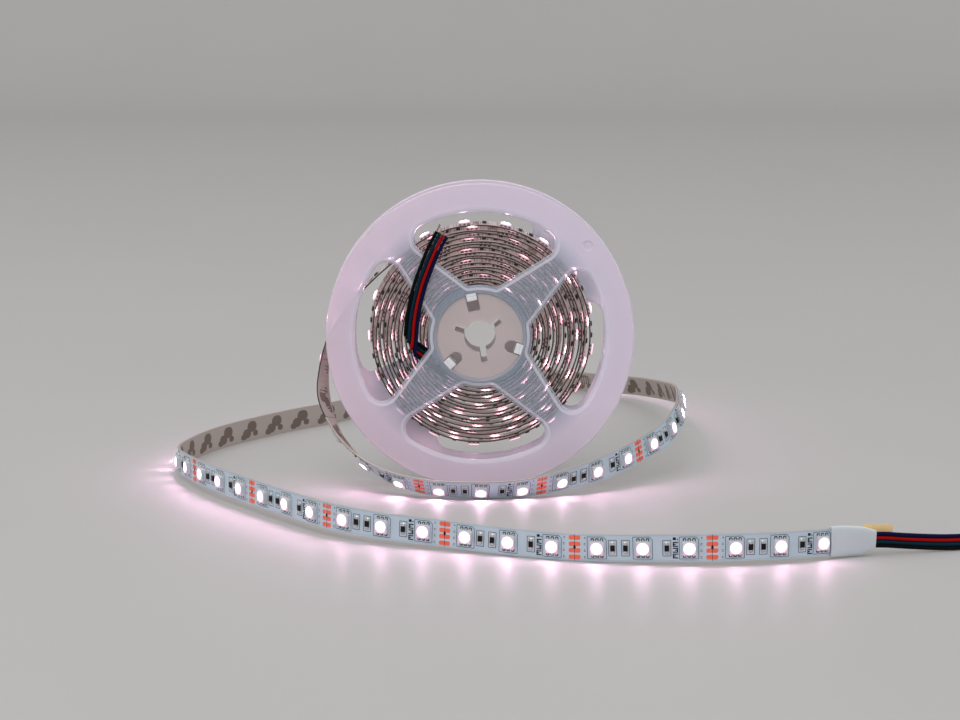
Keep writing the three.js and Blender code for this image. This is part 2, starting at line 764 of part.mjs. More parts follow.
const firstJoint = stripLength - boardsUnwound * boardLength;
addPiece("wound_strip", toGeometry(woundStrip(firstJoint - clearance)), materials.wound);
for (let board = 1; board <= boardsUnwound; board += 1) {
  const from = stripLength - board * boardLength;
  const to = from + boardLength - (board > 1 ? clearance : 0);
  addPiece(`loose_strip_${board}`, toGeometry(looseBoard(from, to)), materials.board);
  addPiece(`tape_backing_${board}`, looseTape(from, to), materials.tape);
}

addPiece("end_sleeve", toGeometry(sleeve()), materials.sleeve);
addPiece("end_tab", endTab(), materials.tab);

wireColours.forEach((colour, wire) => {
  const outer = outerWirePoints(wire);
  const inner = innerWirePoints(wire);
  const pieces = [
    addPiece(`outer_wire_${colour}`, wireBody(outer), materials[colour]),
    addPiece(`outer_tip_${colour}`, tip(outer, outerTipLength), materials.tinned),
    addPiece(`inner_wire_${colour}`, wireBody(inner), materials[colour]),
    addPiece(`inner_tip_${colour}`, tip(inner, innerTipLengths[wire]), materials.tinned),
  ];
  pieces.forEach((piece) => cordPieces.add(piece));
});

// The origin is the bottom centre of the box round everything but the wires
part.updateMatrixWorld(true);
const bounds = new THREE.Box3();
part.traverse((piece) => {
  if (piece.isMesh && !cordPieces.has(piece)) {
    bounds.expandByObject(piece, true);
  }
});
const centre = bounds.getCenter(new THREE.Vector3());
part.position.set(-centre.x, -centre.y, -bounds.min.z);

export default part;
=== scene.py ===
"""Looks of a reel of flexible light strip, part unwound, with its lamps lit."""

import cmath
import math

import bpy
import numpy as np
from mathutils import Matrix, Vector
from mathutils.geometry import tessellate_polygon


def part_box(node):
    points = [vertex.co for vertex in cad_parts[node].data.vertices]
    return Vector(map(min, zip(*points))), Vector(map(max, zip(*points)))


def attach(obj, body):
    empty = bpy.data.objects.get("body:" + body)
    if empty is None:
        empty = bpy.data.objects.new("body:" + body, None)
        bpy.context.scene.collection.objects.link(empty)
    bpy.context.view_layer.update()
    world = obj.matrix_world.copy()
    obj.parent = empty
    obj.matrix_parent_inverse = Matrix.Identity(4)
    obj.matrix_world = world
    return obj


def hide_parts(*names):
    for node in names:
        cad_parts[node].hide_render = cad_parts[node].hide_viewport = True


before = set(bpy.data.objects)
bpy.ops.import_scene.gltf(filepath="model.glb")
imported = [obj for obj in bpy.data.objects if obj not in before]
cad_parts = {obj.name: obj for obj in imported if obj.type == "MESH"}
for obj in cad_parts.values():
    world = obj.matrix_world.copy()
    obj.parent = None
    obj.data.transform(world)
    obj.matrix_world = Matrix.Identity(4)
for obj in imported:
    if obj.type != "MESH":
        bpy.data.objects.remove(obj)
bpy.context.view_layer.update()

# Sizes are in millimetres and turn into metres where a mesh is made
MM = 0.001
front_low, front_high = (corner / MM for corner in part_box("front_flange"))
rear_low, rear_high = (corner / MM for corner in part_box("rear_flange"))
REEL = (front_low + front_high) / 2
REEL.y = (front_low.y + rear_high.y) / 2
RIM_RADIUS = (front_high.x - front_low.x) / 2
OUTER_FACE = (rear_high.y - front_low.y) / 2
PLATE = 1.4
HALF_GAP = OUTER_FACE - PLATE
ROUTE_REEL_HEIGHT = 62.44
ROUTE_ORIGIN = np.array([REEL.x, REEL.y, REEL.z - ROUTE_REEL_HEIGHT])

# Reel: centre angle of each web, then its half width near the hub and near the rim
WEB_NEAR_RADIUS = 21.6
WEB_FAR_RADIUS = 45.3
FRONT_WEBS = [(angle, 9.8, 5.4) for angle in (42.3, 132.3, 222.3, 312.3)]
REAR_WEBS = [(39, 11, 19), (132, 9, 5), (224, 11, 19), (312, 9, 5)]
RIM_INNER_RADIUS = 50.7
HUB_WINDOW_RADIUS = 21.2
WINDOW_CORNER = 5.5
WINDOW_INNER_CORNER = 1.5
DIMPLE_RADIUS = 2
DIMPLE_DEPTH = 0.4
DIMPLE_CENTRE = cmath.rect(57.1, math.radians(40.6))
BARREL_RADIUS = 19.9
BARREL_BORE = 18.1
PLUG_RADIUS = 17.8
HUB_RECESS = 0.8
SPINDLE_RADIUS = 6.4
SLOT_WIDTH = 2.5
SLOT_REACH = 10.6
SLOT_ROUNDING = 0.4
SLOT_ANGLES = (40, 160, 280)
CLIP_ANGLES = (102, 222, 342)
CLIP_OPENING_WIDTH = 5
CLIP_OPENING_INNER = 10.6
CLIP_SEAT = 17.2
CLIP_WIDTH = 4.2
CLIP_EDGE = 0.25
CLIP_INNER = 15
CLIP_OUTER = 16.9
CLIP_NOSE_REACH = 18.1
CLIP_NOSE_HEIGHT = 0.5

# Strip, with its lamp side at +height
HALF_WIDTH = 5
BOARD_TOP = 0.15
TAPE_TOP = -0.25
TAPE_BOTTOM = -0.5
WOUND_TAPE_BOTTOM = -0.4
UNIT = 50
BOARD_LENGTH = 500
JOINT_GAP = 0.3
LAMP_OFFSETS = (8.33, 25, 41.67)
RESISTOR_OFFSETS = (14, 18.7, 33.6)
SMALL_MARGIN = 2
LAMP_SIZE = 5
LAMP_HEIGHT = 1.5
WOUND_LAMP_HEIGHT = 1.2
COVERED_LAMP_HEIGHT = 0.8
LOOSE_DOME = 0.02
WOUND_DOME = 0.45

# Coil
COIL_OFFSET = 0.7
COIL_INNER_RADIUS = 20.6
COIL_OUTER_RADIUS = 45.5
COIL_INNER_ANGLE = 214
COIL_OUTER_ANGLE = 130
COIL_FULL_TURNS = 16
COIL_TURNS = COIL_FULL_TURNS + (COIL_OUTER_ANGLE + 360 - COIL_INNER_ANGLE) / 360
COIL_PITCH = (COIL_OUTER_RADIUS - COIL_INNER_RADIUS) / COIL_TURNS
COIL_LENGTH = math.pi * COIL_TURNS * (COIL_INNER_RADIUS + COIL_OUTER_RADIUS)
# Wander of the turns: size in millimetres, then waves in each turn and where the first begins
COIL_SWELL = ((0.2, 3.3, 0), (0.13, 7.7, 1.3))
COIL_DRIFT = ((0.28, 1.7, 0.5), (0.16, 5.3, 0))
# Lean of the lamp side to the front, as a slope, and its wander
COIL_LEAN = 0.11
LEAN_SWING = ((0.03, 2.3, 0),)

# Middle of the strip's width from the coil to the outer end, then the way its width points
STRIP_ROUTE = [
    (-41.4, 0.7, 87.2, 0, -1, 0), (-52, 0.7, 76, 0, -1, 0), (-61.3, 0.2, 61.5, -0.08, -1, 0),
    (-63.8, -1.6, 48, -0.32, -0.94, 0), (-63.6, -4.8, 36.5, -0.38, -0.92, 0),
    (-59, -9.5, 25.2, -0.1, -0.98, 0), (-51, -15, 16, 0, -0.98, 0.16),
    (-39.5, -22, 8.8, 0, -0.84, 0.54), (-23, -28, 5, 0, -0.7, 0.71),
    (-3.3, -31, 4.1, 0, -0.64, 0.77), (17, -28.5, 4.3, 0, -0.6, 0.8), (36, -22, 6.8, 0, -0.42, 0.9),
    (52, -12, 10, 0, -0.12, 0.99), (66, 1.5, 13.9, 0, 0, 1), (77.5, 15, 18.3, -0.15, 0.1, 1),
    (84.6, 36, 22.5, -0.25, 0.25, 0.93), (87, 64, 23, -0.28, 0.4, 0.87),
    (88.5, 96, 19.5, -0.4, 0.2, 0.9), (87.5, 127, 15, -0.4, 0, 0.91),
    (83, 157, 11, -0.38, -0.1, 0.92), (73, 183, 8, -0.25, -0.33, 0.91),
    (55, 202, 6, -0.05, -0.3, 0.95), (31, 216, 5.2, 0, -0.1, 1),
]
# The rest of it, where the width is upright
UPRIGHT_ROUTE = [
    (2, 214, 5), (-25, 194.5, 5), (-46, 165.5, 5), (-64, 134.5, 5), (-84.5, 112.5, 5),
    (-102, 90, 5), (-116, 67.5, 5), (-124.5, 43, 5.2), (-126, 18, 6.6), (-119, -5, 8),
    (-108, -26, 8.5), (-94, -47, 8.6), (-77, -70, 8.5), (-58, -92.5, 8.2), (-37, -105.5, 7.2),
    (-14.5, -114, 6.4), (10, -123, 5.4), (34, -130.5, 5.1), (60, -135.5, 6), (86, -136.6, 6.5),
    (110, -133, 6.4), (132.2, -125.4, 6.2),
]
STRIP_ROUTE += [(*place, 0, 0, 1) for place in UPRIGHT_ROUTE]

# Middle of the outer lead, from inside the sleeve to the wires' ends
OUTER_LEAD_ROUTE = [
    (135.2, -124.4, 6.1, 0, 0, 1), (141, -122.6, 5.9, 0, 0, 1), (148, -120.6, 5.5, 0, 0, 1),
    (156, -118.6, 4.6, 0, 0, 1), (164, -116.8, 3.8, 0, 0.08, 1), (172, -115, 3.2, 0, 0.2, 0.97),
    (181, -112.8, 3, 0, 0.32, 0.93), (190, -110, 2.8, 0, 0.5, 0.85),
    (199, -106.4, 2.4, 0, 0.75, 0.62), (207.5, -102, 1.5, -0.2, 0.95, 0.25),
    (215.5, -96.6, 0.9, -0.4, 0.9, 0.03), (222.5, -90.4, 0.85, -0.6, 0.8, 0),
    (228, -83.4, 0.85, -0.78, 0.62, 0),
]

# The inner lead comes out flat against the coil, folds over itself and climbs in front of a web
INNER_LEAD_HUB = -17.5 + 51j
INNER_LEAD_FOLD = -28.3 + 58.9j
INNER_LEAD_CLIMB = [
    -28 + 61.5j, -27.4 + 69j, -26.1 + 76.4j, -24.2 + 83.8j, -21.6 + 91j, -18.7 + 98j, -15.4 + 104.4j,
]
FOLD_ROUNDING = 1.5
HUB_GAP = 0.3
WIRE_DIAMETER = 1.4
WIRE_PITCH = 1.52
WIRE_COLOURS = ("black", "green", "red", "blue")
INNER_LEAD_BACK = (COIL_OFFSET - HALF_WIDTH - HALF_GAP) / 2
INNER_LEAD_FRONT = -(OUTER_FACE + WIRE_DIAMETER / 2 + 0.2)


def new_object(name, data):
    made = bpy.data.objects.new(name, data)
    bpy.context.scene.collection.objects.link(made)
    return made


class Builder:
    """Gathers points in millimetres, and faces with the number of each one's material."""

    def __init__(self):
        self.points = []
        self.faces = []
        self.kinds = []

    def add(self, points, faces, kinds=0):
        """Kinds is one number for all the faces, or a number for each."""
        start = len(self.points)
        self.points.extend(np.asarray(points, float).tolist())
        self.faces.extend([tuple(start + corner for corner in face) for face in faces])
        self.kinds.extend(np.broadcast_to(kinds, len(faces)).tolist())

    def make(self, name, materials, slot, node=None, smooth=40):
        """One object of all that was gathered, riding on the part's one body."""
        mesh = bpy.data.meshes.new(name)
        mesh.from_pydata((np.asarray(self.points) * MM).tolist(), [], self.faces)
        for finish in materials:
            mesh.materials.append(finish)
        mesh.polygons.foreach_set("material_index", self.kinds)
        mesh.validate()
        mesh.update()
        if smooth:
            mesh.shade_smooth()
            mesh.set_sharp_from_angle(angle=math.radians(smooth))
        piece = new_object(name, mesh)
        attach(piece, "root")
        if node:
            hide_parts(node)
        return piece


def grid_faces(rows, columns, wrap=False):
    """Quads over rows of points, with the last column joined to the first if they wrap round."""
    faces = []
    for row in range(rows - 1):
        for column in range(columns if wrap else columns - 1):
            a = row * columns + column
            b = row * columns + (column + 1) % columns
            faces.append((a, b, b + columns, a + columns))
    return faces


# Reel
def dot(a, b):
    return a.real * b.real + a.imag * b.imag


def closed(items):
    """Each item with the next one, and the last with the first."""
    return list(zip(items, items[1:] + items[:1]))


def circle(radius, sides, centre=0):
    return [centre + cmath.rect(radius, 2 * math.pi * side / sides) for side in range(sides)]


def arc(centre, radius, start, end, steps):
    return [centre + cmath.rect(radius, start + (end - start) * step / steps) for step in range(steps + 1)]


def web_edge(web, side, grow):
    angle, near_width, far_width = web
    along = cmath.rect(1, math.radians(angle))
    across = 1j * along * side
    near = along * WEB_NEAR_RADIUS + across * near_width
    far = along * WEB_FAR_RADIUS + across * far_width
    direction = (far - near) / abs(far - near)
    inwards = 1j * direction * side
    return near - inwards * grow, direction, inwards


def rounding_centre(edge, rounding, distance):
    start, direction, inwards = edge
    foot = start + inwards * rounding
    lead = dot(foot, direction)
    return foot + direction * (math.sqrt(lead**2 - abs(foot) ** 2 + distance**2) - lead)


def window_outline(first, second, grow):
    outer = RIM_INNER_RADIUS + grow
    inner = HUB_WINDOW_RADIUS - grow
    outer_corner = WINDOW_CORNER + grow
    inner_corner = WINDOW_INNER_CORNER + grow
    edges = [web_edge(first, 1, grow), web_edge(second, -1, grow)]
    far = [rounding_centre(edge, outer_corner, outer - outer_corner) for edge in edges]
    near = [rounding_centre(edge, inner_corner, inner + inner_corner) for edge in edges]

    def corner(centre, radius, towards, onwards, steps):
        start = cmath.phase(towards)
        end = cmath.phase(onwards)
        end += 2 * math.pi * math.ceil((start - end) / (2 * math.pi))
        return arc(centre, radius, start, end, steps)

    return [
        *corner(near[0], inner_corner, -near[0], -edges[0][2], 5),
        *corner(far[0], outer_corner, -edges[0][2], far[0], 12),
        *corner(0, outer, far[0], far[1], 28)[1:-1],
        *corner(far[1], outer_corner, far[1], -edges[1][2], 12),
        *corner(near[1], inner_corner, -edges[1][2], -near[1], 5),
        *reversed(corner(0, inner, near[0], near[1], 14)[1:-1]),
    ]


def spindle_outline():
    half = SLOT_WIDTH / 2
    reach = math.asin(half / SPINDLE_RADIUS)
    outline = []
    for place, angle in enumerate(SLOT_ANGLES):
        turn = cmath.rect(1, math.radians(angle))
        slot = [SLOT_REACH - SLOT_ROUNDING - half * 1j, SLOT_REACH - (half - SLOT_ROUNDING) * 1j]
        slot += [corner.conjugate() for corner in reversed(slot)]
        outline += [corner * turn for corner in slot]
        after = SLOT_ANGLES[(place + 1) % 3] + (360 if place == 2 else 0)
        outline += arc(0, SPINDLE_RADIUS, math.radians(angle) + reach, math.radians(after) - reach, 16)
    return outline


def clip_outline(angle, square):
    """Opening over a clip, with a round inner end or a square one."""
    half = CLIP_OPENING_WIDTH / 2
    rounding = 0.5 if square else half - 0.01
    inner = CLIP_OPENING_INNER + rounding
    outline = [complex(CLIP_SEAT, -half), complex(CLIP_SEAT, half)]
    outline += arc(complex(inner, half - rounding), rounding, math.pi / 2, math.pi, 8)
    outline += arc(complex(inner, rounding - half), rounding, math.pi, 1.5 * math.pi, 8)
    return [corner * cmath.rect(1, math.radians(angle)) for corner in outline]


# Kinds of reel material: plain milky plastic, a painted highlight along the rim and window edges, and the
# clips' white
MILKY, PAINTED_HIGHLIGHT_KIND, CLIP_WHITE = range(3)


class Plate(Builder):
    """A flange: outlines as complex numbers seen from the front, heights out from the middle."""

    def __init__(self, side):
        super().__init__()
        self.side = side

    def place(self, outline, height):
        y = REEL.y + self.side * height
        return [(REEL.x + point.real, y, REEL.z + point.imag) for point in outline]

    def wall(self, levels, kind=MILKY):
        rings = [self.place(outline, height) for outline, height in levels]
        points = [point for ring in rings for point in ring]
        self.add(points, grid_faces(len(rings), len(rings[0]), True), kind)

    def edge_wall(self, levels, highlight_from):
        """Wall that is plain up to one of its levels and has a painted highlight from there."""
        self.wall(levels[: highlight_from + 1])
        self.wall(levels[highlight_from:], PAINTED_HIGHLIGHT_KIND)

    def face(self, height, outline, *holes, kind=MILKY):
        loops = [self.place(loop, height) for loop in (outline, *holes)]
        triangles = tessellate_polygon([[Vector(point) for point in loop] for loop in loops])
        self.add([point for loop in loops for point in loop], triangles, kind)

    def clip(self, angle, start, end, low, high):
        """Bar along a radius, with its outward edges taken off."""
        turn = cmath.rect(1, math.radians(angle))
        shoulder = high - math.copysign(CLIP_EDGE, high - low)
        rings = []
        for grow, height in ((0, low), (0, shoulder), (-CLIP_EDGE, high)):
            low_side = -CLIP_WIDTH / 2 - grow
            corners = [complex(start - grow, low_side), complex(end + grow, low_side)]
            corners += [corner.conjugate() for corner in reversed(corners)]
            rings.append(([corner * turn for corner in corners], height))
        self.wall(rings, CLIP_WHITE)
        self.face(low, rings[0][0], kind=CLIP_WHITE)
        self.face(high, rings[-1][0], kind=CLIP_WHITE)


# Edge profiles: how far an outline has grown at a share of the plate's thickness from its inner face
WINDOW_PROFILE = [
    (0.25, 0), (0.06, 0.06), (0, 0.16), (0, 0.36), (0.12, 0.45),
    (0.5, 0.62), (1, 0.8), (1.4, 0.92), (1.75, 0.98), (2.1, 1),
]
RIM_PROFILE = [(-0.45, 0), (-0.13, 0.07), (0, 0.25), (0, 0.7), (-0.12, 0.88), (-0.5, 1)]
# Level from which each of them carries the painted highlight
WINDOW_HIGHLIGHT_FROM = 6
RIM_HIGHLIGHT_FROM = 3
# Round hollows in the outer face: how far the outline has grown at a depth
WELL_PROFILE = [(0.5, 0), (0.15, 0.1), (0, 0.3), (0, HUB_RECESS - 0.2), (-0.2, HUB_RECESS)]
DIMPLE_PROFILE = [(0.25, 0), (0.06, 0.1), (-0.1, 0.3), (-0.6, DIMPLE_DEPTH)]
FINE = 128


def plate_height(share):
    return HALF_GAP + share * PLATE


def hollow(profile, radius, sides, centre=0):
    return [(circle(radius + grow, sides, centre), OUTER_FACE - depth) for grow, depth in profile]


def flange_plate(side, webs, outer_holes, inner_holes):
    """Plate with its rim and its four windows, and further holes in its outer and inner face."""
    plate = Plate(side)
    rims = [(circle(RIM_RADIUS + grow, 2 * FINE), plate_height(share)) for grow, share in RIM_PROFILE]
    plate.edge_wall(rims, RIM_HIGHLIGHT_FROM)
    outer, inner = [], []
    for first, second in closed(webs):
        levels = [
            (window_outline(first, second, grow), plate_height(share)) for grow, share in WINDOW_PROFILE
        ]
        plate.edge_wall(levels, WINDOW_HIGHLIGHT_FROM)
        inner.append(levels[0][0])
        outer.append(levels[-1][0])
    plate.face(HALF_GAP, rims[0][0], *inner, *inner_holes)
    plate.face(OUTER_FACE, rims[-1][0], *outer, *outer_holes)
    return plate


def front_flange(materials):
    floor = OUTER_FACE - HUB_RECESS
    back = HALF_GAP - HUB_RECESS
    well = hollow(WELL_PROFILE, PLUG_RADIUS, FINE)
    dimple = hollow(DIMPLE_PROFILE, DIMPLE_RADIUS, 32, DIMPLE_CENTRE)
    plug = circle(PLUG_RADIUS, FINE)
    openings = [spindle_outline()] + [clip_outline(angle, angle == CLIP_ANGLES[0]) for angle in CLIP_ANGLES]
    plate = flange_plate(-1, FRONT_WEBS, [well[0][0], dimple[0][0]], [plug])
    plate.wall(well)
    plate.wall(dimple)
    plate.face(dimple[-1][1], dimple[-1][0])
    plate.face(floor, well[-1][0], *openings)
    plate.wall([(plug, HALF_GAP), (plug, back)])
    plate.face(back, plug, *openings)
    for opening in openings:
        plate.wall([(opening, floor), (opening, back)])
    plate.make("reel_front", materials, "reel_plastic", "front_flange", smooth=50)


def rear_flange(materials):
    bore = circle(BARREL_BORE, FINE)
    barrel = circle(BARREL_RADIUS, FINE)
    end = -HALF_GAP + JOINT_GAP
    spindle = spindle_outline()
    plate = flange_plate(1, REAR_WEBS, [spindle], [barrel])
    plate.wall([(barrel, HALF_GAP), (barrel, end), (bore, end), (bore, HALF_GAP)])
    plate.face(HALF_GAP, bore, spindle)
    plate.wall([(spindle, HALF_GAP), (spindle, OUTER_FACE)])
    nose_low = -(OUTER_FACE - HUB_RECESS + JOINT_GAP)
    nose_high = nose_low - CLIP_NOSE_HEIGHT
    for angle in CLIP_ANGLES:
        plate.clip(angle, CLIP_INNER, CLIP_OUTER, HALF_GAP, nose_high)
        plate.clip(angle, CLIP_OUTER - 0.1, CLIP_NOSE_REACH, nose_low, nose_high)
    plate.make("reel_rear", materials, "reel_plastic", "rear_flange", smooth=50)


# Routes
def unit(vectors):
    return vectors / np.linalg.norm(vectors, axis=-1, keepdims=True)


def squared(across, along):
    """The way across made square to the way along."""
    return unit(across - along * np.sum(across * along, axis=-1, keepdims=True))


def spline(rows, times):
    """Uniform Catmull-Rom curve through the rows, at times counted in rows."""
    rows = np.array(rows, float)
    rows = np.vstack([2 * rows[0] - rows[1], rows, 2 * rows[-1] - rows[-2]])
    step = np.minimum(times.astype(int), len(rows) - 4)
    t = (times - step)[:, None]
    a, b, c, d = (rows[step + shift] for shift in range(4))
    return 0.5 * (2 * b + (c - a) * t + (2 * a - 5 * b + 4 * c - d) * t**2 + (3 * b - a - 3 * c + d) * t**3)


class Path:
    """Frames at any distance along a line: place, way along it, way across, and the lamp side."""

    def __init__(self, places, across):
        steps = np.linalg.norm(np.diff(places, axis=0), axis=1)
        self.distances = np.concatenate([[0], np.cumsum(steps)])
        self.length = self.distances[-1]
        self.places = places
        self.across = across
        self.along = unit(np.gradient(places, self.distances, axis=0))

    def between(self, values, distances):
        return np.stack([np.interp(distances, self.distances, column) for column in values.T], axis=-1)

    def at(self, distances):
        place = self.between(self.places, distances)
        along = unit(self.between(self.along, distances))
        across = squared(self.between(self.across, distances), along)
        return place, along, across, np.cross(along, across)

    def point(self, distances, across, height):
        """Points at distances along, offsets across and heights on the lamp side."""
        distances, across, height = np.broadcast_arrays(np.asarray(distances, float), across, height)
        place, _, wide, out = self.at(distances)
        return place + wide * across[..., None] + out * height[..., None]


def waves(rows, turns):
    return sum(size * np.sin(rate * 2 * math.pi * turns + phase) for size, rate, phase in rows)


def coil_places():
    """Spiral whose turns wander a little and lean their lamp side to the front, and its way across."""
    turns = np.linspace(0, COIL_TURNS, 8000)
    angle = np.radians(COIL_INNER_ANGLE + 360 * turns)
    calm = np.clip((COIL_TURNS - turns) / 0.5, 0, 1) * np.clip(turns / 0.5, 0, 1)
    radius = COIL_INNER_RADIUS + COIL_PITCH * turns + calm * waves(COIL_SWELL, turns)
    height = COIL_OFFSET + calm * waves(COIL_DRIFT, turns)
    lean = calm * (COIL_LEAN + waves(LEAN_SWING, turns))
    places = np.stack([radius * np.cos(angle), height, radius * np.sin(angle) + ROUTE_REEL_HEIGHT], axis=1)
    across = np.stack([-lean * np.cos(angle), -np.ones_like(angle), -lean * np.sin(angle)], axis=1)
    return places, unit(across)


def route_path(rows):
    times = np.linspace(0, len(rows) - 1, (len(rows) - 1) * 50 + 1)
    line = spline(rows, times)
    return line[:, :3] + ROUTE_ORIGIN, line[:, 3:]


coil, coil_across = coil_places()
loose_places, loose_across = route_path([(*coil[-1], 0, -1, 0), *STRIP_ROUTE])
strip = Path(
    np.vstack([coil[:-1] + ROUTE_ORIGIN, loose_places]), np.vstack([coil_across[:-1], loose_across])
)
lead = Path(*route_path(OUTER_LEAD_ROUTE))
LENGTH = strip.length
FIRST_JOINT = LENGTH - 2 * BOARD_LENGTH


def repeats(offsets, start, end, margin=0.0):
    """Distances of what repeats in each unit of the strip."""
    cuts = LENGTH - UNIT * np.arange(math.ceil(LENGTH / UNIT), 0, -1)
    places = (cuts[:, None] + np.array(offsets)).ravel()
    return places[(places > start + margin) & (places < end - margin)]


# Kinds of material on the strip, in the order of the two lists of materials for its boards
MASK, EDGE, PRINT, COPPER, METAL, CHIP, BODY, LENS, HALO, TRACE, FOAM, BODY_GLOW_KIND, SIDE, PAPER, INK = range(15)
PRINT_TOP = BOARD_TOP + 0.02


class StripBuilder(Builder):
    """Shapes given along the strip, across it and on its lamp side."""

    def band(self, rows, kind):
        """Quads between rows of points that run along the strip."""
        self.add(np.stack(rows, axis=1).reshape(-1, 3), grid_faces(len(rows[0]), len(rows)), kind)

    def ribbon(self, start, end, low, high, kinds, step=1.25):
        """A length of layer, with a kind of material for its lamp side, its edges and its back."""
        stations = np.linspace(start, end, max(int((end - start) / step), 2))
        corners = [(-HALF_WIDTH, high), (HALF_WIDTH, high), (HALF_WIDTH, low), (-HALF_WIDTH, low)]
        for side, kind in enumerate((kinds[0], kinds[1], kinds[2], kinds[1])):
            pair = corners[side], corners[(side + 1) % 4]
            self.band([strip.point(stations, across, height) for across, height in pair], kind)
        for station in (start, end):
            self.add([strip.point(station, *corner) for corner in corners], [(0, 1, 2, 3)], kinds[1])

    def patch(self, start, end, low, high, height, kind, rounding=0.0):
        """A flat mark on the strip, with square or round corners."""
        if rounding:
            turns = 1 - np.cos(np.linspace(0, math.pi / 2, 4))
            along = np.concatenate([start + rounding * turns, (end - rounding * turns)[::-1]])
            lack = np.clip(rounding - np.minimum(along - start, end - along), 0, rounding)
            inset = rounding - np.sqrt(np.maximum(rounding**2 - lack**2, 0))
        else:
            along = np.linspace(start, end, max(int(end - start) + 1, 2))
            inset = 0
        self.band([strip.point(along, low + inset, height), strip.point(along, high - inset, height)], kind)

    def strokes(self, distance, lines, width, height):
        """Thin printed lines, each between two (along, across) pairs seen from a distance."""
        for start, end in np.array(lines, float) + (distance, 0):
            way = end - start
            size = math.hypot(*way)
            share = np.linspace(0, 1, max(int(size) + 1, 2))
            side = np.array([-way[1], way[0]]) * width / 2 / size
            along = start[0] + way[0] * share
            across = start[1] + way[1] * share
            rows = [strip.point(along + sign * side[0], across + sign * side[1], height) for sign in (1, -1)]
            self.band(rows, PRINT)

    def solid(self, distance, rings, kinds):
        """A small form standing on the strip: rings of (along, across) pairs and their heights.

        Kinds is one kind of material, or one for each wall between two rings and then the cap's.
        """
        place, along, across, out = strip.at(distance)
        points = [place + along * u + across * v + out * high for ring, high in rings for u, v in ring]
        sides = len(rings[0][0])
        kinds = np.broadcast_to(kinds, len(rings))
        faces = grid_faces(len(rings), sides, True)
        faces.append(tuple(range(len(points) - sides, len(points))))
        self.add(points, faces, [*np.repeat(kinds[:-1], sides), kinds[-1]])

    def blob(self, distance, along, across, sides, levels):
        """Rounded solder: half its size along and across at each rise over the board."""
        rings = [(oval(long, wide, sides, along, across), BOARD_TOP + rise) for long, wide, rise in levels]
        self.solid(distance, rings, METAL)


def block_ring(half, long, chamfer=0.0, shift=0.0):
    """Outline of a block, with one corner taken off: along +, across +."""
    corners = [(-half, -long), (half, -long), (half, long - chamfer), (half - chamfer, long), (-half, long)]
    return [(u, v + shift) for u, v in corners]


def oval(long, wide, sides, along=0.0, across=0.0):
    turns = [2 * math.pi * side / sides for side in range(sides)]
    return [(along + long * math.cos(turn), across + wide * math.sin(turn)) for turn in turns]


# A lamp's leads and their solder: half its size along and across, and its rise
LEAD_PITCH = 1.7
LEAD_CENTRES = [(place * LEAD_PITCH, side) for side in (-1, 1) for place in (-1, 0, 1)]
LEAD_SOLDER = ((0.46, 0.62, 0.02), (0.36, 0.5, 0.3), (0.18, 0.25, 0.4))
LENS_RADIUS = 2.15
LENS_CORE = 1.4
LENS_SIDES = 28
LAMP_CHAMFER = 0.7
LAMP_BEVEL = 0.12
# Patch on one side of a lamp's top: painted glow of the lamp's light on its body
BODY_GLOW_PATCH = [(-2.3, -2.38), (2.3, -2.38), (2.3, -0.9), (-2.3, -0.9)]


def add_lamp(board, distance, height, dome):
    """White block with a round lit lens and three soldered leads on each side across the strip."""
    half = LAMP_SIZE / 2
    top = BOARD_TOP + height - dome
    bevelled = half - LAMP_BEVEL
    wall = block_ring(half, half, LAMP_CHAMFER)
    upper = block_ring(bevelled, bevelled, LAMP_CHAMFER)
    board.solid(distance, [(wall, BOARD_TOP), (wall, top - LAMP_BEVEL), (upper, top)], BODY)
    # Pinkish patch with a weak glow: painted glow of the lamp's light on one side of its top
    board.solid(distance, [(BODY_GLOW_PATCH, top - 0.02), (BODY_GLOW_PATCH, top + 0.006)], BODY_GLOW_KIND)
    cup = ((LENS_RADIUS + 0.06, 0.008), (LENS_RADIUS, dome), (LENS_CORE, dome + 0.002))
    cup = [(oval(radius, radius, LENS_SIDES), top + rise) for radius, rise in cup]
    board.solid(distance, cup, [SIDE, HALO, LENS])
    for along, side in LEAD_CENTRES:
        board.blob(distance, along, side * (half + 0.3), 10, LEAD_SOLDER)


# Printed outlines and signs, as pairs of ends along and across
LAMP_FRAME = closed([(-3.6, -4.05), (3.4, -4.05), (3.4, 3.05), (2.4, 4.05), (-3.6, 4.05)])
RESISTOR_FRAME = [
    ((-1.45, -2.9), (-1.45, 2.9)), ((-1.45, -2.9), (1.45, -2.9)),
    ((1.45, -2.9), (1.45, 2.9)), ((-1.45, 2.9), (1.45, 2.9)),
]
PLUS = [((-0.3, 0), (0.3, 0)), ((0, -0.35), (0, 0.35))]
BRACKET = [((-0.3, 0.3), (0.3, 0.3)), ((-0.3, -0.3), (0.3, -0.3)), ((-0.3, -0.3), (-0.3, 0.3))]


def add_lamp_print(board, distance):
    board.strokes(distance, LAMP_FRAME, 0.19, PRINT_TOP + 0.005)
    for along, side in LEAD_CENTRES:
        centre = distance + along
        low, high = sorted((side * 2.35, side * 3.65))
        board.patch(centre - 0.66, centre + 0.66, low, high, PRINT_TOP - 0.007, PRINT, 0.5)


CHIP_HALF = 0.82


def add_resistor(board, distance):
    for side in (-1, 1):
        ring = block_ring(CHIP_HALF, 0.26, shift=side * 1.38)
        board.solid(distance, [(ring, BOARD_TOP), (ring, BOARD_TOP + 0.56)], METAL)
        dome = [
            (oval(0.8, 0.45, 10, across=side * 1.85), BOARD_TOP + 0.02),
            (oval(0.45, 0.28, 10, across=side * 1.75), BOARD_TOP + 0.36),
        ]
        board.solid(distance, dome, METAL)
    ring = block_ring(CHIP_HALF, 1.12)
    board.solid(distance, [(ring, BOARD_TOP), (ring, BOARD_TOP + 0.6)], CHIP)
    board.strokes(distance, RESISTOR_FRAME, 0.2, PRINT_TOP)


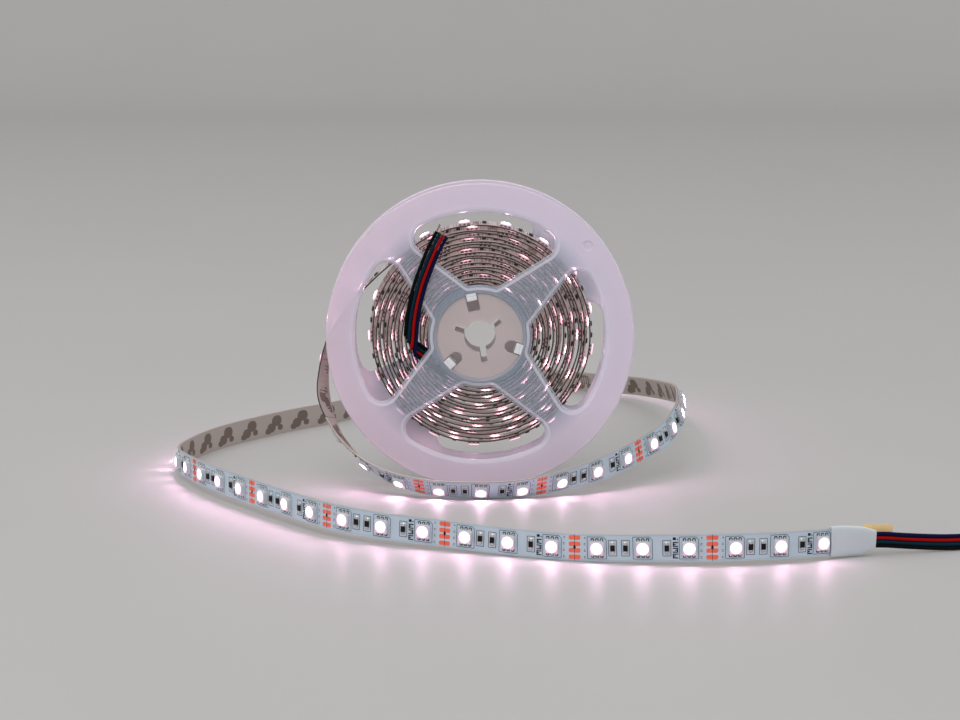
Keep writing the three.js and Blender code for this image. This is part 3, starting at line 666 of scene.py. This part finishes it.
PAD_ROWS = (3.67, 1.3, -1.1, -3.55)
PAD_HALF = 0.835
PAD_REACH = 2.17
SIGN_OFFSET = 3.85
JOINT_CENTRE = 0.95
JOINT_SOLDER = [
    (0.9 * size, 0.78 * size, rise) for size, rise in ((1, 0.02), (0.86, 0.22), (0.55, 0.36), (0.2, 0.41))
]


def add_cut(board, cut, start, end):
    """Copper pads on both sides of a cut line, with the line and small signs printed by them."""
    low, high = max(cut - PAD_REACH, start + 0.05), min(cut + PAD_REACH, end - 0.05)
    if high - low < 0.5:
        return
    for row in PAD_ROWS:
        rounding = 0.6 if high - low > 3 else 0.0
        board.patch(low, high, row - PAD_HALF, row + PAD_HALF, PRINT_TOP, COPPER, rounding)
    if start + 1 < cut < end - 1:
        line = [((0, -HALF_WIDTH + 0.05), (0, HALF_WIDTH - 0.05))]
        board.strokes(cut, line, 0.16, PRINT_TOP + 0.02)
        board.patch(cut - 0.45, cut + 0.45, -0.35, 0.55, PRINT_TOP + 0.03, PRINT)
        board.patch(cut - 0.22, cut + 0.22, -0.75, 0.95, PRINT_TOP + 0.03, PRINT)
    for sign in (cut - SIGN_OFFSET, cut + SIGN_OFFSET):
        if start + 1 < sign < end - 1:
            for row in PAD_ROWS:
                lines, width = (PLUS, 0.18) if row == PAD_ROWS[0] else (BRACKET, 0.16)
                board.strokes(sign, np.array(lines) + (0, row), width, PRINT_TOP)


def add_joint(board, distance, side):
    """Half of the solder that joins two boards, over this board's ends of the pads."""
    for row in PAD_ROWS:
        board.blob(distance, side * JOINT_CENTRE, row, 14, JOINT_SOLDER)


# Plain marks: three short combs under a small block that is split in two
MARK_OFFSET = 36.7
MARK_HALF = 0.95
MARK_STROKE = 0.44
MARK_GAP = 0.7
MARK_CENTRES = ((1.35, 1), (-0.8, -1), (-2.95, 1))


def add_marks(board, distance):
    board.patch(distance - MARK_HALF, distance + 0.2, 2.95, 3.95, PRINT_TOP, PRINT)
    board.patch(distance + 0.5, distance + MARK_HALF, 2.95, 3.4, PRINT_TOP, PRINT)
    for centre, side in MARK_CENTRES:
        comb = []
        for across, reach in ((centre + MARK_GAP, 1), (centre, 0.1), (centre - MARK_GAP, 1)):
            comb.append(((-side * MARK_HALF, across), (side * MARK_HALF * reach, across)))
        board.strokes(distance, comb, MARK_STROKE, PRINT_TOP)
        back = -side * (MARK_HALF - MARK_STROKE / 2)
        spine = [((back, centre - MARK_GAP), (back, centre + MARK_GAP))]
        board.strokes(distance, spine, MARK_STROKE, PRINT_TOP + 0.004)


def add_traces(board, start, end):
    """Faint wide tracks that show through the white face."""
    for across in (4.55, -4.6):
        board.patch(start + 0.6, end - 0.6, across - 0.2, across + 0.2, BOARD_TOP + 0.008, TRACE)


def add_units(board, start, end, lamp_height, dome):
    """What repeats along a board, where lamp_height gives the height of the lamp at a distance."""
    for distance in repeats(LAMP_OFFSETS, start, end, LAMP_SIZE):
        add_lamp_print(board, distance)
        add_lamp(board, distance, lamp_height(distance), dome)
    for distance in repeats(RESISTOR_OFFSETS, start, end, SMALL_MARGIN):
        add_resistor(board, distance)
    for distance in repeats([MARK_OFFSET], start, end, SMALL_MARGIN):
        add_marks(board, distance)
    for cut in repeats([0], start - 1, end + 1):
        add_cut(board, cut, start, end)


def loose_ends(number):
    start = LENGTH - number * BOARD_LENGTH
    return start, start + BOARD_LENGTH - (JOINT_GAP if number > 1 else 0)


def loose_board(number, materials):
    start, end = loose_ends(number)
    board = StripBuilder()
    board.ribbon(start, end, -BOARD_TOP, BOARD_TOP, (MASK, EDGE, MASK))
    add_traces(board, start, end)
    add_units(board, start, end, lambda distance: LAMP_HEIGHT, LOOSE_DOME)
    add_joint(board, start, 1)
    if number > 1:
        add_joint(board, end, -1)
    board.make(f"board_{number}", materials, "strip_board", f"loose_strip_{number}", smooth=35)


TAPE_FACE, TAPE_EDGE, TAPE_PRINT = range(3)
MOTIF_PLACES = [UNIT / 6, UNIT / 2, UNIT * 5 / 6]
MOTIF_MARGIN = 6
# Rounded blots of a plain pattern: centre along and across, then length and width
MOTIF_BLOTS = ((-1.6, 1.3, 6.4, 4.8), (1.9, -1.5, 5.6, 4.2), (4, -2.8, 4, 2.6), (-3.9, -1.9, 3.4, 2.6))


def add_motifs(tape, start, end, height, kind):
    for middle in repeats(MOTIF_PLACES, start, end, MOTIF_MARGIN):
        for layer, (along, across, long, wide) in enumerate(MOTIF_BLOTS):
            low, high = middle + along - long / 2, middle + along + long / 2
            depth = height - 0.003 * layer
            tape.patch(low, high, across - wide / 2, across + wide / 2, depth, kind, min(long, wide) / 2)


def loose_tape(number, materials):
    """Adhesive tape with its printed liner, behind a board."""
    start, end = loose_ends(number)
    tape = StripBuilder()
    tape.ribbon(start, end, TAPE_BOTTOM, TAPE_TOP + 0.08, (TAPE_EDGE, TAPE_EDGE, TAPE_FACE))
    add_motifs(tape, start, end, TAPE_BOTTOM - 0.015, TAPE_PRINT)
    tape.make(f"liner_{number}", materials, "tape_liner", f"tape_backing_{number}", smooth=35)


WOUND_STEP = 0.9
# Part of the last turn whose lamps have nothing over them
UNCOVERED_DEGREES = 330


def wound_strip(materials):
    end = FIRST_JOINT - JOINT_GAP
    covered = COIL_LENGTH - COIL_OUTER_RADIUS * math.radians(UNCOVERED_DEGREES)
    back = WOUND_TAPE_BOTTOM
    wound = StripBuilder()
    wound.ribbon(0, end, -BOARD_TOP, BOARD_TOP, (MASK, EDGE, MASK), step=WOUND_STEP)
    wound.ribbon(0, end, back, -BOARD_TOP - 0.01, (FOAM, EDGE, FOAM), step=WOUND_STEP)
    wound.ribbon(COIL_LENGTH, end, back - 0.02, back - 0.01, (PAPER, EDGE, PAPER))
    add_motifs(wound, COIL_LENGTH, end, back - 0.035, INK)

    def lamp_height(distance):
        return WOUND_LAMP_HEIGHT if distance > covered else COVERED_LAMP_HEIGHT

    add_units(wound, 0, end, lamp_height, WOUND_DOME)
    add_joint(wound, end, -1)
    wound.make("wound_coil", materials, "wound_strip", "wound_strip", smooth=35)


# Sleeve and tab at the strip's outer end
SLEEVE_WALL = 0.35
SLEEVE_SQUARENESS = 0.45
SLEEVE_SHIFT = -0.125
# Stations of the sleeve: what it follows, how far along, half its inner width and half its depth
SLEEVE_STATIONS = [
    (strip, LENGTH - 5, 5.3, 0.85),
    (strip, LENGTH - 2.5, 5.32, 0.9),
    (strip, LENGTH, 5.3, 1.05),
    (lead, 3.8, 4.8, 1.25),
    (lead, 8, 3.78, 1.15),
    (lead, 9.8, 3.28, 1.05),
]
TAB_SIZE = (12, 5.4, 0.2)
TAB_PLACE = (11.5, 2.6, -2.025)
TAB_CHAMFER = 0.8


def end_sleeve(material):
    """Shrunk tube: flat over the strip, then narrower and rounder over the wires."""
    rows = []
    for path, distance, height, depth in SLEEVE_STATIONS:
        place, _, wide, out = path.at(distance)
        rows.append((*place, *wide, *out, height, depth))
    line = spline(rows, np.linspace(0, len(rows) - 1, 41))
    turn = np.linspace(0, 2 * math.pi, 48, endpoint=False)

    def square(values):
        return np.sign(values) * np.abs(values) ** SLEEVE_SQUARENESS

    rings = []
    for wall, order in ((SLEEVE_WALL, line), (0, line[::-1])):
        for row in order:
            place, wide, out = row[:3], unit(row[3:6]), unit(row[6:9])
            across = square(np.sin(turn)) * (row[9] + wall)
            depth = square(np.cos(turn)) * (row[10] + wall) + SLEEVE_SHIFT
            rings.append(place + np.outer(across, wide) + np.outer(depth, out))
    rings.append(rings[0])
    tube = Builder()
    tube.add(np.concatenate(rings), grid_faces(len(rings), len(turn), True))
    tube.make("shrink_tube", [material], "shrink_sleeve", "end_sleeve")


def end_tab(material):
    distance, rise, behind = TAB_PLACE
    long, wide, thick = (size / 2 for size in TAB_SIZE)
    tab = Builder()
    outline = block_ring(long, wide, TAB_CHAMFER)
    place, along, across, out = lead.at(distance)
    rings = []
    for height in (-thick, thick):
        rings.append([place + along * u + across * (v + rise) + out * (behind + height) for u, v in outline])
    tab.add(rings[0] + rings[1], grid_faces(2, len(outline), True))
    for ring in rings:
        tab.add(ring, [tuple(range(len(outline)))])
    tab.make("amber_tab", [material], "amber_film", "end_tab", smooth=0)


# Wires
def centripetal(points, steps):
    """Centripetal Catmull-Rom curve through the points."""
    points = np.vstack([2 * points[0] - points[1], points, 2 * points[-1] - points[-2]])
    line = []
    for a, b, c, d in zip(points, points[1:], points[2:], points[3:]):
        knots = np.cumsum([0] + [np.linalg.norm(q - p) ** 0.5 for p, q in ((a, b), (b, c), (c, d))])
        for t in np.linspace(knots[1], knots[2], steps, endpoint=False):

            def blend(low, p, high, q):
                return (p * (high - t) + q * (t - low)) / (high - low)

            ab = blend(knots[0], a, knots[1], b)
            bc = blend(knots[1], b, knots[2], c)
            cd = blend(knots[2], c, knots[3], d)
            abc = blend(knots[0], ab, knots[2], bc)
            bcd = blend(knots[1], bc, knots[3], cd)
            line.append(blend(knots[1], abc, knots[2], bcd))
    line.append(points[-2])
    return np.array(line)


def wire_offset(wire):
    return (wire - (len(WIRE_COLOURS) - 1) / 2) * WIRE_PITCH


def outer_wire_points(wire):
    """At each row of the lead's route, beside it by this wire's offset."""
    times = np.arange(len(OUTER_LEAD_ROUTE), dtype=float)
    near = 0.001
    rows = spline(OUTER_LEAD_ROUTE, times)
    ahead = spline(OUTER_LEAD_ROUTE, np.minimum(times + near, times[-1]))
    behind = spline(OUTER_LEAD_ROUTE, np.maximum(times - near, 0))
    along = unit(ahead[:, :3] - behind[:, :3])
    return rows[:, :3] + squared(rows[:, 3:], along) * wire_offset(wire) + ROUTE_ORIGIN


def inner_wire_points(wire):
    """Out from the hub behind the web, a tight fold, then up in front of it."""
    offset = -wire_offset(wire)
    run = (INNER_LEAD_FOLD - INNER_LEAD_HUB) / abs(INNER_LEAD_FOLD - INNER_LEAD_HUB)
    rise = INNER_LEAD_CLIMB[1] - INNER_LEAD_CLIMB[0]
    rise /= abs(rise)
    origin = INNER_LEAD_HUB - 1j * run * offset
    target = INNER_LEAD_FOLD + 1j * rise * offset
    travel = ((target - origin).conjugate() * rise).imag / (run.conjugate() * rise).imag
    corner = origin + run * travel
    lead_in = origin - 1j * ROUTE_REEL_HEIGHT
    hub_radius = BARREL_RADIUS + WIRE_DIAMETER / 2 + HUB_GAP
    past = dot(lead_in, run) ** 2 - abs(lead_in) ** 2 + hub_radius**2
    start = math.sqrt(max(past, 0)) - dot(lead_in, run)
    short = (1 - math.sqrt(0.5)) * FOLD_ROUNDING
    back, front = INNER_LEAD_BACK, INNER_LEAD_FRONT
    flat = [
        (origin + run * start, back),
        (origin + run * (start + travel - FOLD_ROUNDING) / 2, back),
        (origin + run * (travel - FOLD_ROUNDING), back),
        (origin + run * (travel - short), back - short),
        (corner, (back + front) / 2),
        (corner + rise * short, front + short),
        (corner + rise * FOLD_ROUNDING, front),
    ]
    last = len(INNER_LEAD_CLIMB) - 1
    for place, point in enumerate(INNER_LEAD_CLIMB):
        way = INNER_LEAD_CLIMB[min(place + 1, last)] - INNER_LEAD_CLIMB[max(place - 1, 0)]
        side = point + 1j * way / abs(way) * offset
        if side.imag > corner.imag + 2 * FOLD_ROUNDING:
            flat.append((side, front))
    return np.array([(point.real, depth, point.imag) for point, depth in flat]) + ROUTE_ORIGIN


# A way that no wire runs along, to begin the rings of a tube from
ASKEW = (0.3, 0.2, 1)


def add_tube(builder, line, radius, sides):
    """Closed tube round a line, without a twist."""
    along = unit(np.gradient(line, axis=0))
    normal = unit(np.cross(along[0], ASKEW))
    turn = np.linspace(0, 2 * math.pi, sides, endpoint=False)
    rings = []
    for place, way in zip(line, along):
        normal = unit(normal - way * normal.dot(way))
        side = np.cross(way, normal)
        rings.append(place + radius * (np.outer(np.cos(turn), normal) + np.outer(np.sin(turn), side)))
    builder.add(np.concatenate(rings), grid_faces(len(rings), sides, True))
    for ring in (rings[0], rings[-1]):
        builder.add(ring, [tuple(range(sides))])


FILM_RADIUS = 0.46


def lead_film(name, first, second, share, insulation):
    """Narrow film that holds two wires of a lead side by side, over a share of their length."""
    lines = [centripetal(points, 10) for points in (first, second)]
    size = min(len(line) for line in lines)
    middle = (lines[0][-size:] + lines[1][-size:]) / 2
    film = Builder()
    add_tube(film, middle[: int(size * share)], FILM_RADIUS, 8)
    return film.make(name, [insulation], "wire_black")


STRAND_RADIUS = 0.13
STRAND_ORBIT = 0.27
STRAND_TURNS = 0.3
TIP_GAP = 0.05


def add_strands(builder, start, way, length, sway):
    """Seven fine strands, laid round each other, that spread a little at their end."""
    normal = unit(np.cross(way, ASKEW))
    side = np.cross(way, normal)
    drift = normal * sway[0] + side * sway[1]
    share = np.linspace(0, 1, 12)[:, None]
    middle = start + way * length * share + drift * share**2
    add_tube(builder, middle, STRAND_RADIUS, 6)
    for strand in range(6):
        turn = 2 * math.pi * (strand / 6 + STRAND_TURNS * share * length / 4)
        round_way = normal * np.cos(turn) + side * np.sin(turn)
        cut = 1 - 0.05 * ((strand * 5) % 4)
        line = start + way * length * cut * share + drift * (share * cut) ** 2 + STRAND_ORBIT * round_way
        add_tube(builder, line, STRAND_RADIUS, 6)


def make_wire(name, points, tip_length, sway, insulation, metal):
    """A free wire and its bare end."""
    line = centripetal(points, 10)
    way = unit(line[-1] - line[-2])
    wire = Builder()
    add_tube(wire, line, WIRE_DIAMETER / 2, 20)
    piece = wire.make(name, [insulation], f"wire_{name.split('_')[-1]}", name.replace("lead", "wire"))
    tip = Builder()
    add_strands(tip, line[-1] + way * TIP_GAP, way, tip_length - TIP_GAP, sway)
    end = tip.make(f"{name}_strands", [metal], "tinned_copper", name.replace("lead", "tip"))


# Materials
def colour(red, green, blue):
    """Linear colour of one that a screen shows as these three numbers out of 255."""
    return tuple(
        value / 12.92 if value <= 0.04045 else ((value + 0.055) / 1.055) ** 2.4
        for value in (red / 255, green / 255, blue / 255)
    ) + (1.0,)


def plug(tree, node, inputs):
    """Gives each input a value or a link from another node's output."""
    for name, value in inputs.items():
        if isinstance(value, bpy.types.NodeSocket):
            tree.links.new(value, node.inputs[name])
        else:
            node.inputs[name].default_value = value


def add_node(tree, kind, output, inputs=None, **settings):
    """Adds a node with its settings and inputs, and gives back one of its outputs."""
    node = tree.nodes.new("ShaderNode" + kind)
    for name, value in settings.items():
        setattr(node, name, value)
    plug(tree, node, inputs or {})
    return node.outputs[output]


def material(name, shade, roughness, spread, grain=400, bump=0.0, glow=None, **values):
    """Plain finish whose colour and roughness wander a little over the surface.

    Shade is out of 255, as on a screen. Spread is how far the colour wanders, grain how finely.
    """
    made = bpy.data.materials.new(name)
    made.use_nodes = True
    tree = made.node_tree
    base = colour(*shade)[:3]
    place = add_node(tree, "TexCoord", "Object")
    noise = add_node(tree, "TexNoise", "Fac", {"Vector": place, "Scale": grain, "Detail": 3})
    dark = [value * (1 - spread) for value in base] + [1]
    light = [min(value * (1 + spread), 1) for value in base] + [1]
    reach = {"Value": noise, "To Min": roughness * 0.85, "To Max": min(roughness * 1.15, 1)}
    inputs = {name.replace("_", " "): value for name, value in values.items()}
    mix = {"Factor": noise, "A": dark, "B": light}
    inputs["Base Color"] = add_node(tree, "Mix", "Result", mix, data_type="RGBA")
    inputs["Roughness"] = add_node(tree, "MapRange", "Result", reach)
    if glow:
        inputs["Emission Color"], inputs["Emission Strength"] = glow
    if bump:
        relief = {"Height": noise, "Strength": bump, "Distance": 0.0001}
        inputs["Normal"] = add_node(tree, "Bump", "Normal", relief)
    plug(tree, tree.nodes["Principled BSDF"], inputs)
    return made


# Glow of the lamps; painted glow of their light on lamp bodies and the coil; glow of the painted highlight
# on the reel's edges
GLOW = (1, 0.58, 0.86, 1)
SIDE_GLOW = (1, 0.8, 0.88, 1)
PAINTED_BODY_GLOW = (1, 0.55, 0.7, 1)
WOUND_GLOW = (1, 0.6, 0.7, 1)
PAINTED_COIL_GLOW = (1, 0.82, 0.8, 1)
PAINTED_HIGHLIGHT_GLOW = (1, 0.93, 1, 1)

# By share of the rim's radius: hub floor, hub and webs, rim
REEL_TINTS = [
    (0, (238, 228, 224)), (0.27, (238, 228, 224)), (0.3, (206, 220, 230)), (0.42, (218, 227, 236)),
    (0.68, (222, 230, 240)), (0.84, (247, 242, 251)), (1, (251, 241, 250)),
]
REEL_CLEARNESS = [(0, 0.46), (0.27, 0.46), (0.3, 0.72), (0.68, 0.74), (0.84, 0.46), (1, 0.42)]
# Way along which the reel turns from pinkish to bluish: painted lamp glow, pinker towards the left and
# bottom
GLOW_TINT_WAY = (0.85, 0, 0.4)
PAINTED_GLOW_PINK = (1, 0.93, 0.97, 1)
BLUISH = (0.95, 0.96, 1, 1)


def reel_plastic():
    """Milky plastic: frosted on the rim and the hub's floor, clearer and bluish on the webs."""
    made = material("milky_plastic", (232, 224, 238), 0.25, 0.02, 60, IOR=1.35)
    tree = made.node_tree
    place = add_node(tree, "TexCoord", "Object")
    centre = (REEL.x * MM, 0, REEL.z * MM)
    away = add_node(tree, "VectorMath", "Vector", {0: place, 1: centre}, operation="SUBTRACT")
    flat = add_node(tree, "VectorMath", "Vector", {0: away, 1: (1, 0, 1)}, operation="MULTIPLY")
    size = add_node(tree, "VectorMath", "Value", {0: flat}, operation="LENGTH")
    share = add_node(tree, "Math", "Value", {0: size, 1: RIM_RADIUS * MM}, operation="DIVIDE")
    tints = [(position, colour(*shade)) for position, shade in REEL_TINTS]
    clearness = [(position, (value, value, value, 1)) for position, value in REEL_CLEARNESS]
    ramps = []
    for stops in (tints, clearness):
        ramps.append(add_node(tree, "ValToRGB", "Color", {"Fac": share}))
        elements = ramps[-1].node.color_ramp.elements
        for position, value in stops[1:-1]:
            elements.new(position).color = value
        elements[0].color = stops[0][1]
        elements[-1].color = stops[-1][1]
    # Painted lamp glow: the plastic is tinted pinker towards the left and bottom and bluer towards the right
    # and top
    sideways = add_node(tree, "VectorMath", "Value", {0: away, 1: GLOW_TINT_WAY}, operation="DOT_PRODUCT")
    reach = {"Value": sideways, "From Min": -RIM_RADIUS * MM, "From Max": RIM_RADIUS * MM}
    shift = {"Factor": add_node(tree, "MapRange", "Result", reach), "A": PAINTED_GLOW_PINK, "B": BLUISH}
    shift = add_node(tree, "Mix", "Result", shift, data_type="RGBA")
    blend = {"Factor": 1, "A": ramps[0], "B": shift}
    blend = add_node(tree, "Mix", "Result", blend, data_type="RGBA", blend_type="MULTIPLY")
    plug(tree, tree.nodes["Principled BSDF"], {"Base Color": blend, "Transmission Weight": ramps[1]})
    return made


plastic = reel_plastic()
# Rim and window edges: lighter, with a weak glow, as a painted highlight
painted_highlight = material(
    "painted_highlight_edge", (238, 234, 246), 0.25, 0.02, 60, glow=(PAINTED_HIGHLIGHT_GLOW, 0.05),
    Transmission_Weight=0.55, IOR=1.35,
)
clip_white = material("clip_plastic", (236, 236, 240), 0.35, 0.02, 60)
mask = material("white_mask", (184, 200, 211), 0.35, 0.03, 250)
edge = material("board_edge", (140, 126, 118), 0.4, 0.25, 900, Metallic=0.4)
trace = material("trace_tint", (172, 189, 203), 0.4, 0.03)
print_ink = material("print_ink", (22, 26, 36), 0.5, 0.2, Specular_IOR_Level=0.15)
copper = material("pad_copper", (238, 104, 76), 0.4, 0.08, 900)
solder = material("solder", (205, 203, 200), 0.2, 0.08, 900, Metallic=0.9)
chip = material("chip", (12, 12, 14), 0.45, 0.2, 900, Specular_IOR_Level=0.2)
lamp_body = material("lamp_body", (205, 206, 214), 0.4, 0.02)
lens = material("lamp_lens", (255, 240, 250), 0.3, 0.01, glow=(GLOW, 100))
halo = material("lamp_halo", (250, 225, 240), 0.3, 0.01, glow=(GLOW, 1.8))
side = material("lamp_side", (240, 205, 218), 0.3, 0.01, glow=(SIDE_GLOW, 0.3))
# Lamp bodies: a pinkish patch with a weak glow, as painted glow of the lamp's light
painted_lamp_glow = material("lamp_top_painted_glow", (226, 190, 204), 0.4, 0.05, glow=(PAINTED_BODY_GLOW, 0.12))
# Coil finishes: the mask, foam and lamp bodies are pinker and glow weakly, as painted glow of the covered
# lamps' light between the turns
wound_mask_painted_glow = material("wound_mask_painted_glow", (190, 176, 174), 0.4, 0.08, 250, glow=(PAINTED_COIL_GLOW, 0.13))
# Coil edges and solder: far darker than on the loose boards, as painted shade between the turns; the edges'
# brown tone is their own
wound_edge_in_shade = material("wound_edge_in_shade", (44, 31, 31), 0.4, 0.5, 1200)
wound_solder_in_shade = material("wound_solder_in_shade", (52, 47, 47), 0.4, 0.4, 900)
wound_copper = material("wound_copper", (176, 132, 122), 0.4, 0.08, 900)
wound_halo = material("wound_halo", (250, 215, 228), 0.3, 0.01, glow=(WOUND_GLOW, 0.9))
wound_lens = material("wound_lens", (255, 240, 250), 0.3, 0.01, glow=(WOUND_GLOW, 15))
# Painted glow on the coil's lamp bodies and foam
wound_body_painted_glow = material("coil_lamp_body_painted_glow", (214, 190, 194), 0.4, 0.05, glow=(PAINTED_BODY_GLOW, 0.12))
foam = material("wound_foam_painted_glow", (190, 176, 172), 0.5, 0.15, 700, glow=(PAINTED_COIL_GLOW, 0.1))
liner = material("liner_paper", (178, 167, 161), 0.55, 0.05, 700)
tape_edge = material("foam_edge", (206, 192, 182), 0.6, 0.08, 900)
liner_ink = material("liner_ink", (112, 97, 88), 0.55, 0.1, 700)
sleeve = material("milky_sleeve", (214, 221, 227), 0.3, 0.03, 300, Transmission_Weight=0.2, IOR=1.3)
amber = material("amber_film", (252, 212, 152), 0.35, 0.12, 300)
tinned = material("tinned_strand", (168, 158, 150), 0.28, 0.15, 1500, Metallic=1.0)
wires = {}
for name, shade in zip(WIRE_COLOURS, ((3, 4, 7), (4, 42, 56), (158, 5, 8), (7, 10, 56))):
    wires[name] = material(f"wire_{name}", shade, 0.55, 0.15, 900, bump=0.1, Specular_IOR_Level=0.08)

# Camera, solved from the reel's outline and the strip's near run
CAMERA_DISTANCE = 1.07306
CAMERA_HEIGHT = 0.2355
CAMERA_DIP = 9.72
camera_data = bpy.data.cameras.new("camera")
camera_data.lens = 100
camera_data.sensor_width = 36
camera = new_object("camera", camera_data)
camera.location = (REEL.x * MM, REEL.y * MM - CAMERA_DISTANCE, CAMERA_HEIGHT)
camera.rotation_euler = (math.radians(90 - CAMERA_DIP), 0, 0)
bpy.context.scene.camera = camera

# Wires: length of each bare end, sway of its strands and share of the wire that a film joins to the last
LEADS = {
    "outer": (outer_wire_points, [(6, (0.25, 0), 0.96)] * 4),
    "inner": (inner_wire_points, [
        (3.2, (0.3, 0.1), 0), (1.2, (-0.1, 0.05), 0.72), (2, (0.1, -0.05), 0.93), (1.2, (0, 0.1), 0.93),
    ]),
}
for wire, name in enumerate(WIRE_COLOURS):
    films = {place: [] for place in LEADS}
    if wire:
        for place, (points, rows) in LEADS.items():
            pair = points(wire - 1), points(wire)
            films[place].append(lead_film(f"{place}_film_{wire}", *pair, rows[wire][2], wires["black"]))
    for place, (points, rows) in LEADS.items():
        tip, sway, _ = rows[wire]
        make_wire(f"{place}_lead_{name}", points(wire), tip, sway, wires[name], tinned)

# Solid pieces
board_materials = [
    mask, edge, print_ink, copper, solder, chip, lamp_body, lens, halo, trace, tape_edge, painted_lamp_glow, side,
]
wound_materials = [
    wound_mask_painted_glow, wound_edge_in_shade, print_ink, wound_copper, wound_solder_in_shade, chip, wound_body_painted_glow, wound_lens,
    wound_halo, trace, foam, painted_lamp_glow, wound_halo, liner, liner_ink,
]
front_flange([plastic, painted_highlight, clip_white])
rear_flange([plastic, painted_highlight, clip_white])
wound_strip(wound_materials)
for number in (1, 2):
    loose_board(number, board_materials)
    loose_tape(number, [liner, tape_edge, liner_ink])
end_sleeve(sleeve)
end_tab(amber)

# Table that turns up into the backdrop, lamps and world
TABLE_FRONT = -4.5
SWEEP_START = 1.9
SWEEP_RADIUS = 0.6
SWEEP_TOP = 2.4
SWEEP_HALF = 4.5
profile = [(TABLE_FRONT, 0), (SWEEP_START, 0)]
for step in range(1, 25):
    turn = math.pi / 2 * step / 24
    profile.append((SWEEP_START + SWEEP_RADIUS * math.sin(turn), SWEEP_RADIUS * (1 - math.cos(turn))))
profile.append((SWEEP_START + SWEEP_RADIUS, SWEEP_TOP))
sweep_mesh = bpy.data.meshes.new("table")
sweep_points = [(side * SWEEP_HALF, y, z - 0.00002) for y, z in profile for side in (-1, 1)]
sweep_mesh.from_pydata(sweep_points, [], grid_faces(len(profile), 2))
sweep_mesh.shade_smooth()
table_finish = material("table_finish", (184, 182, 181), 0.55, 0.02, 6, Specular_IOR_Level=0.16)
sweep_mesh.materials.append(table_finish)
table = new_object("table", sweep_mesh)

world = bpy.data.worlds.new("world")
world.use_nodes = True
sky = {"Color": (0.99, 0.995, 1, 1), "Strength": 0.87}
plug(world.node_tree, world.node_tree.nodes["Background"], sky)
bpy.context.scene.world = world

key_data = bpy.data.lights.new("key", "AREA")
key_data.shape = "RECTANGLE"
key_data.size = 1.6
key_data.size_y = 1.0
key_data.energy = 7
key = new_object("key", key_data)
key.location = (-0.5, -0.5, 1.5)
key.rotation_euler = Vector((0.45, 0.45, -1.5)).to_track_quat("-Z", "Y").to_euler()

bpy.context.scene.view_settings.view_transform = "Standard"
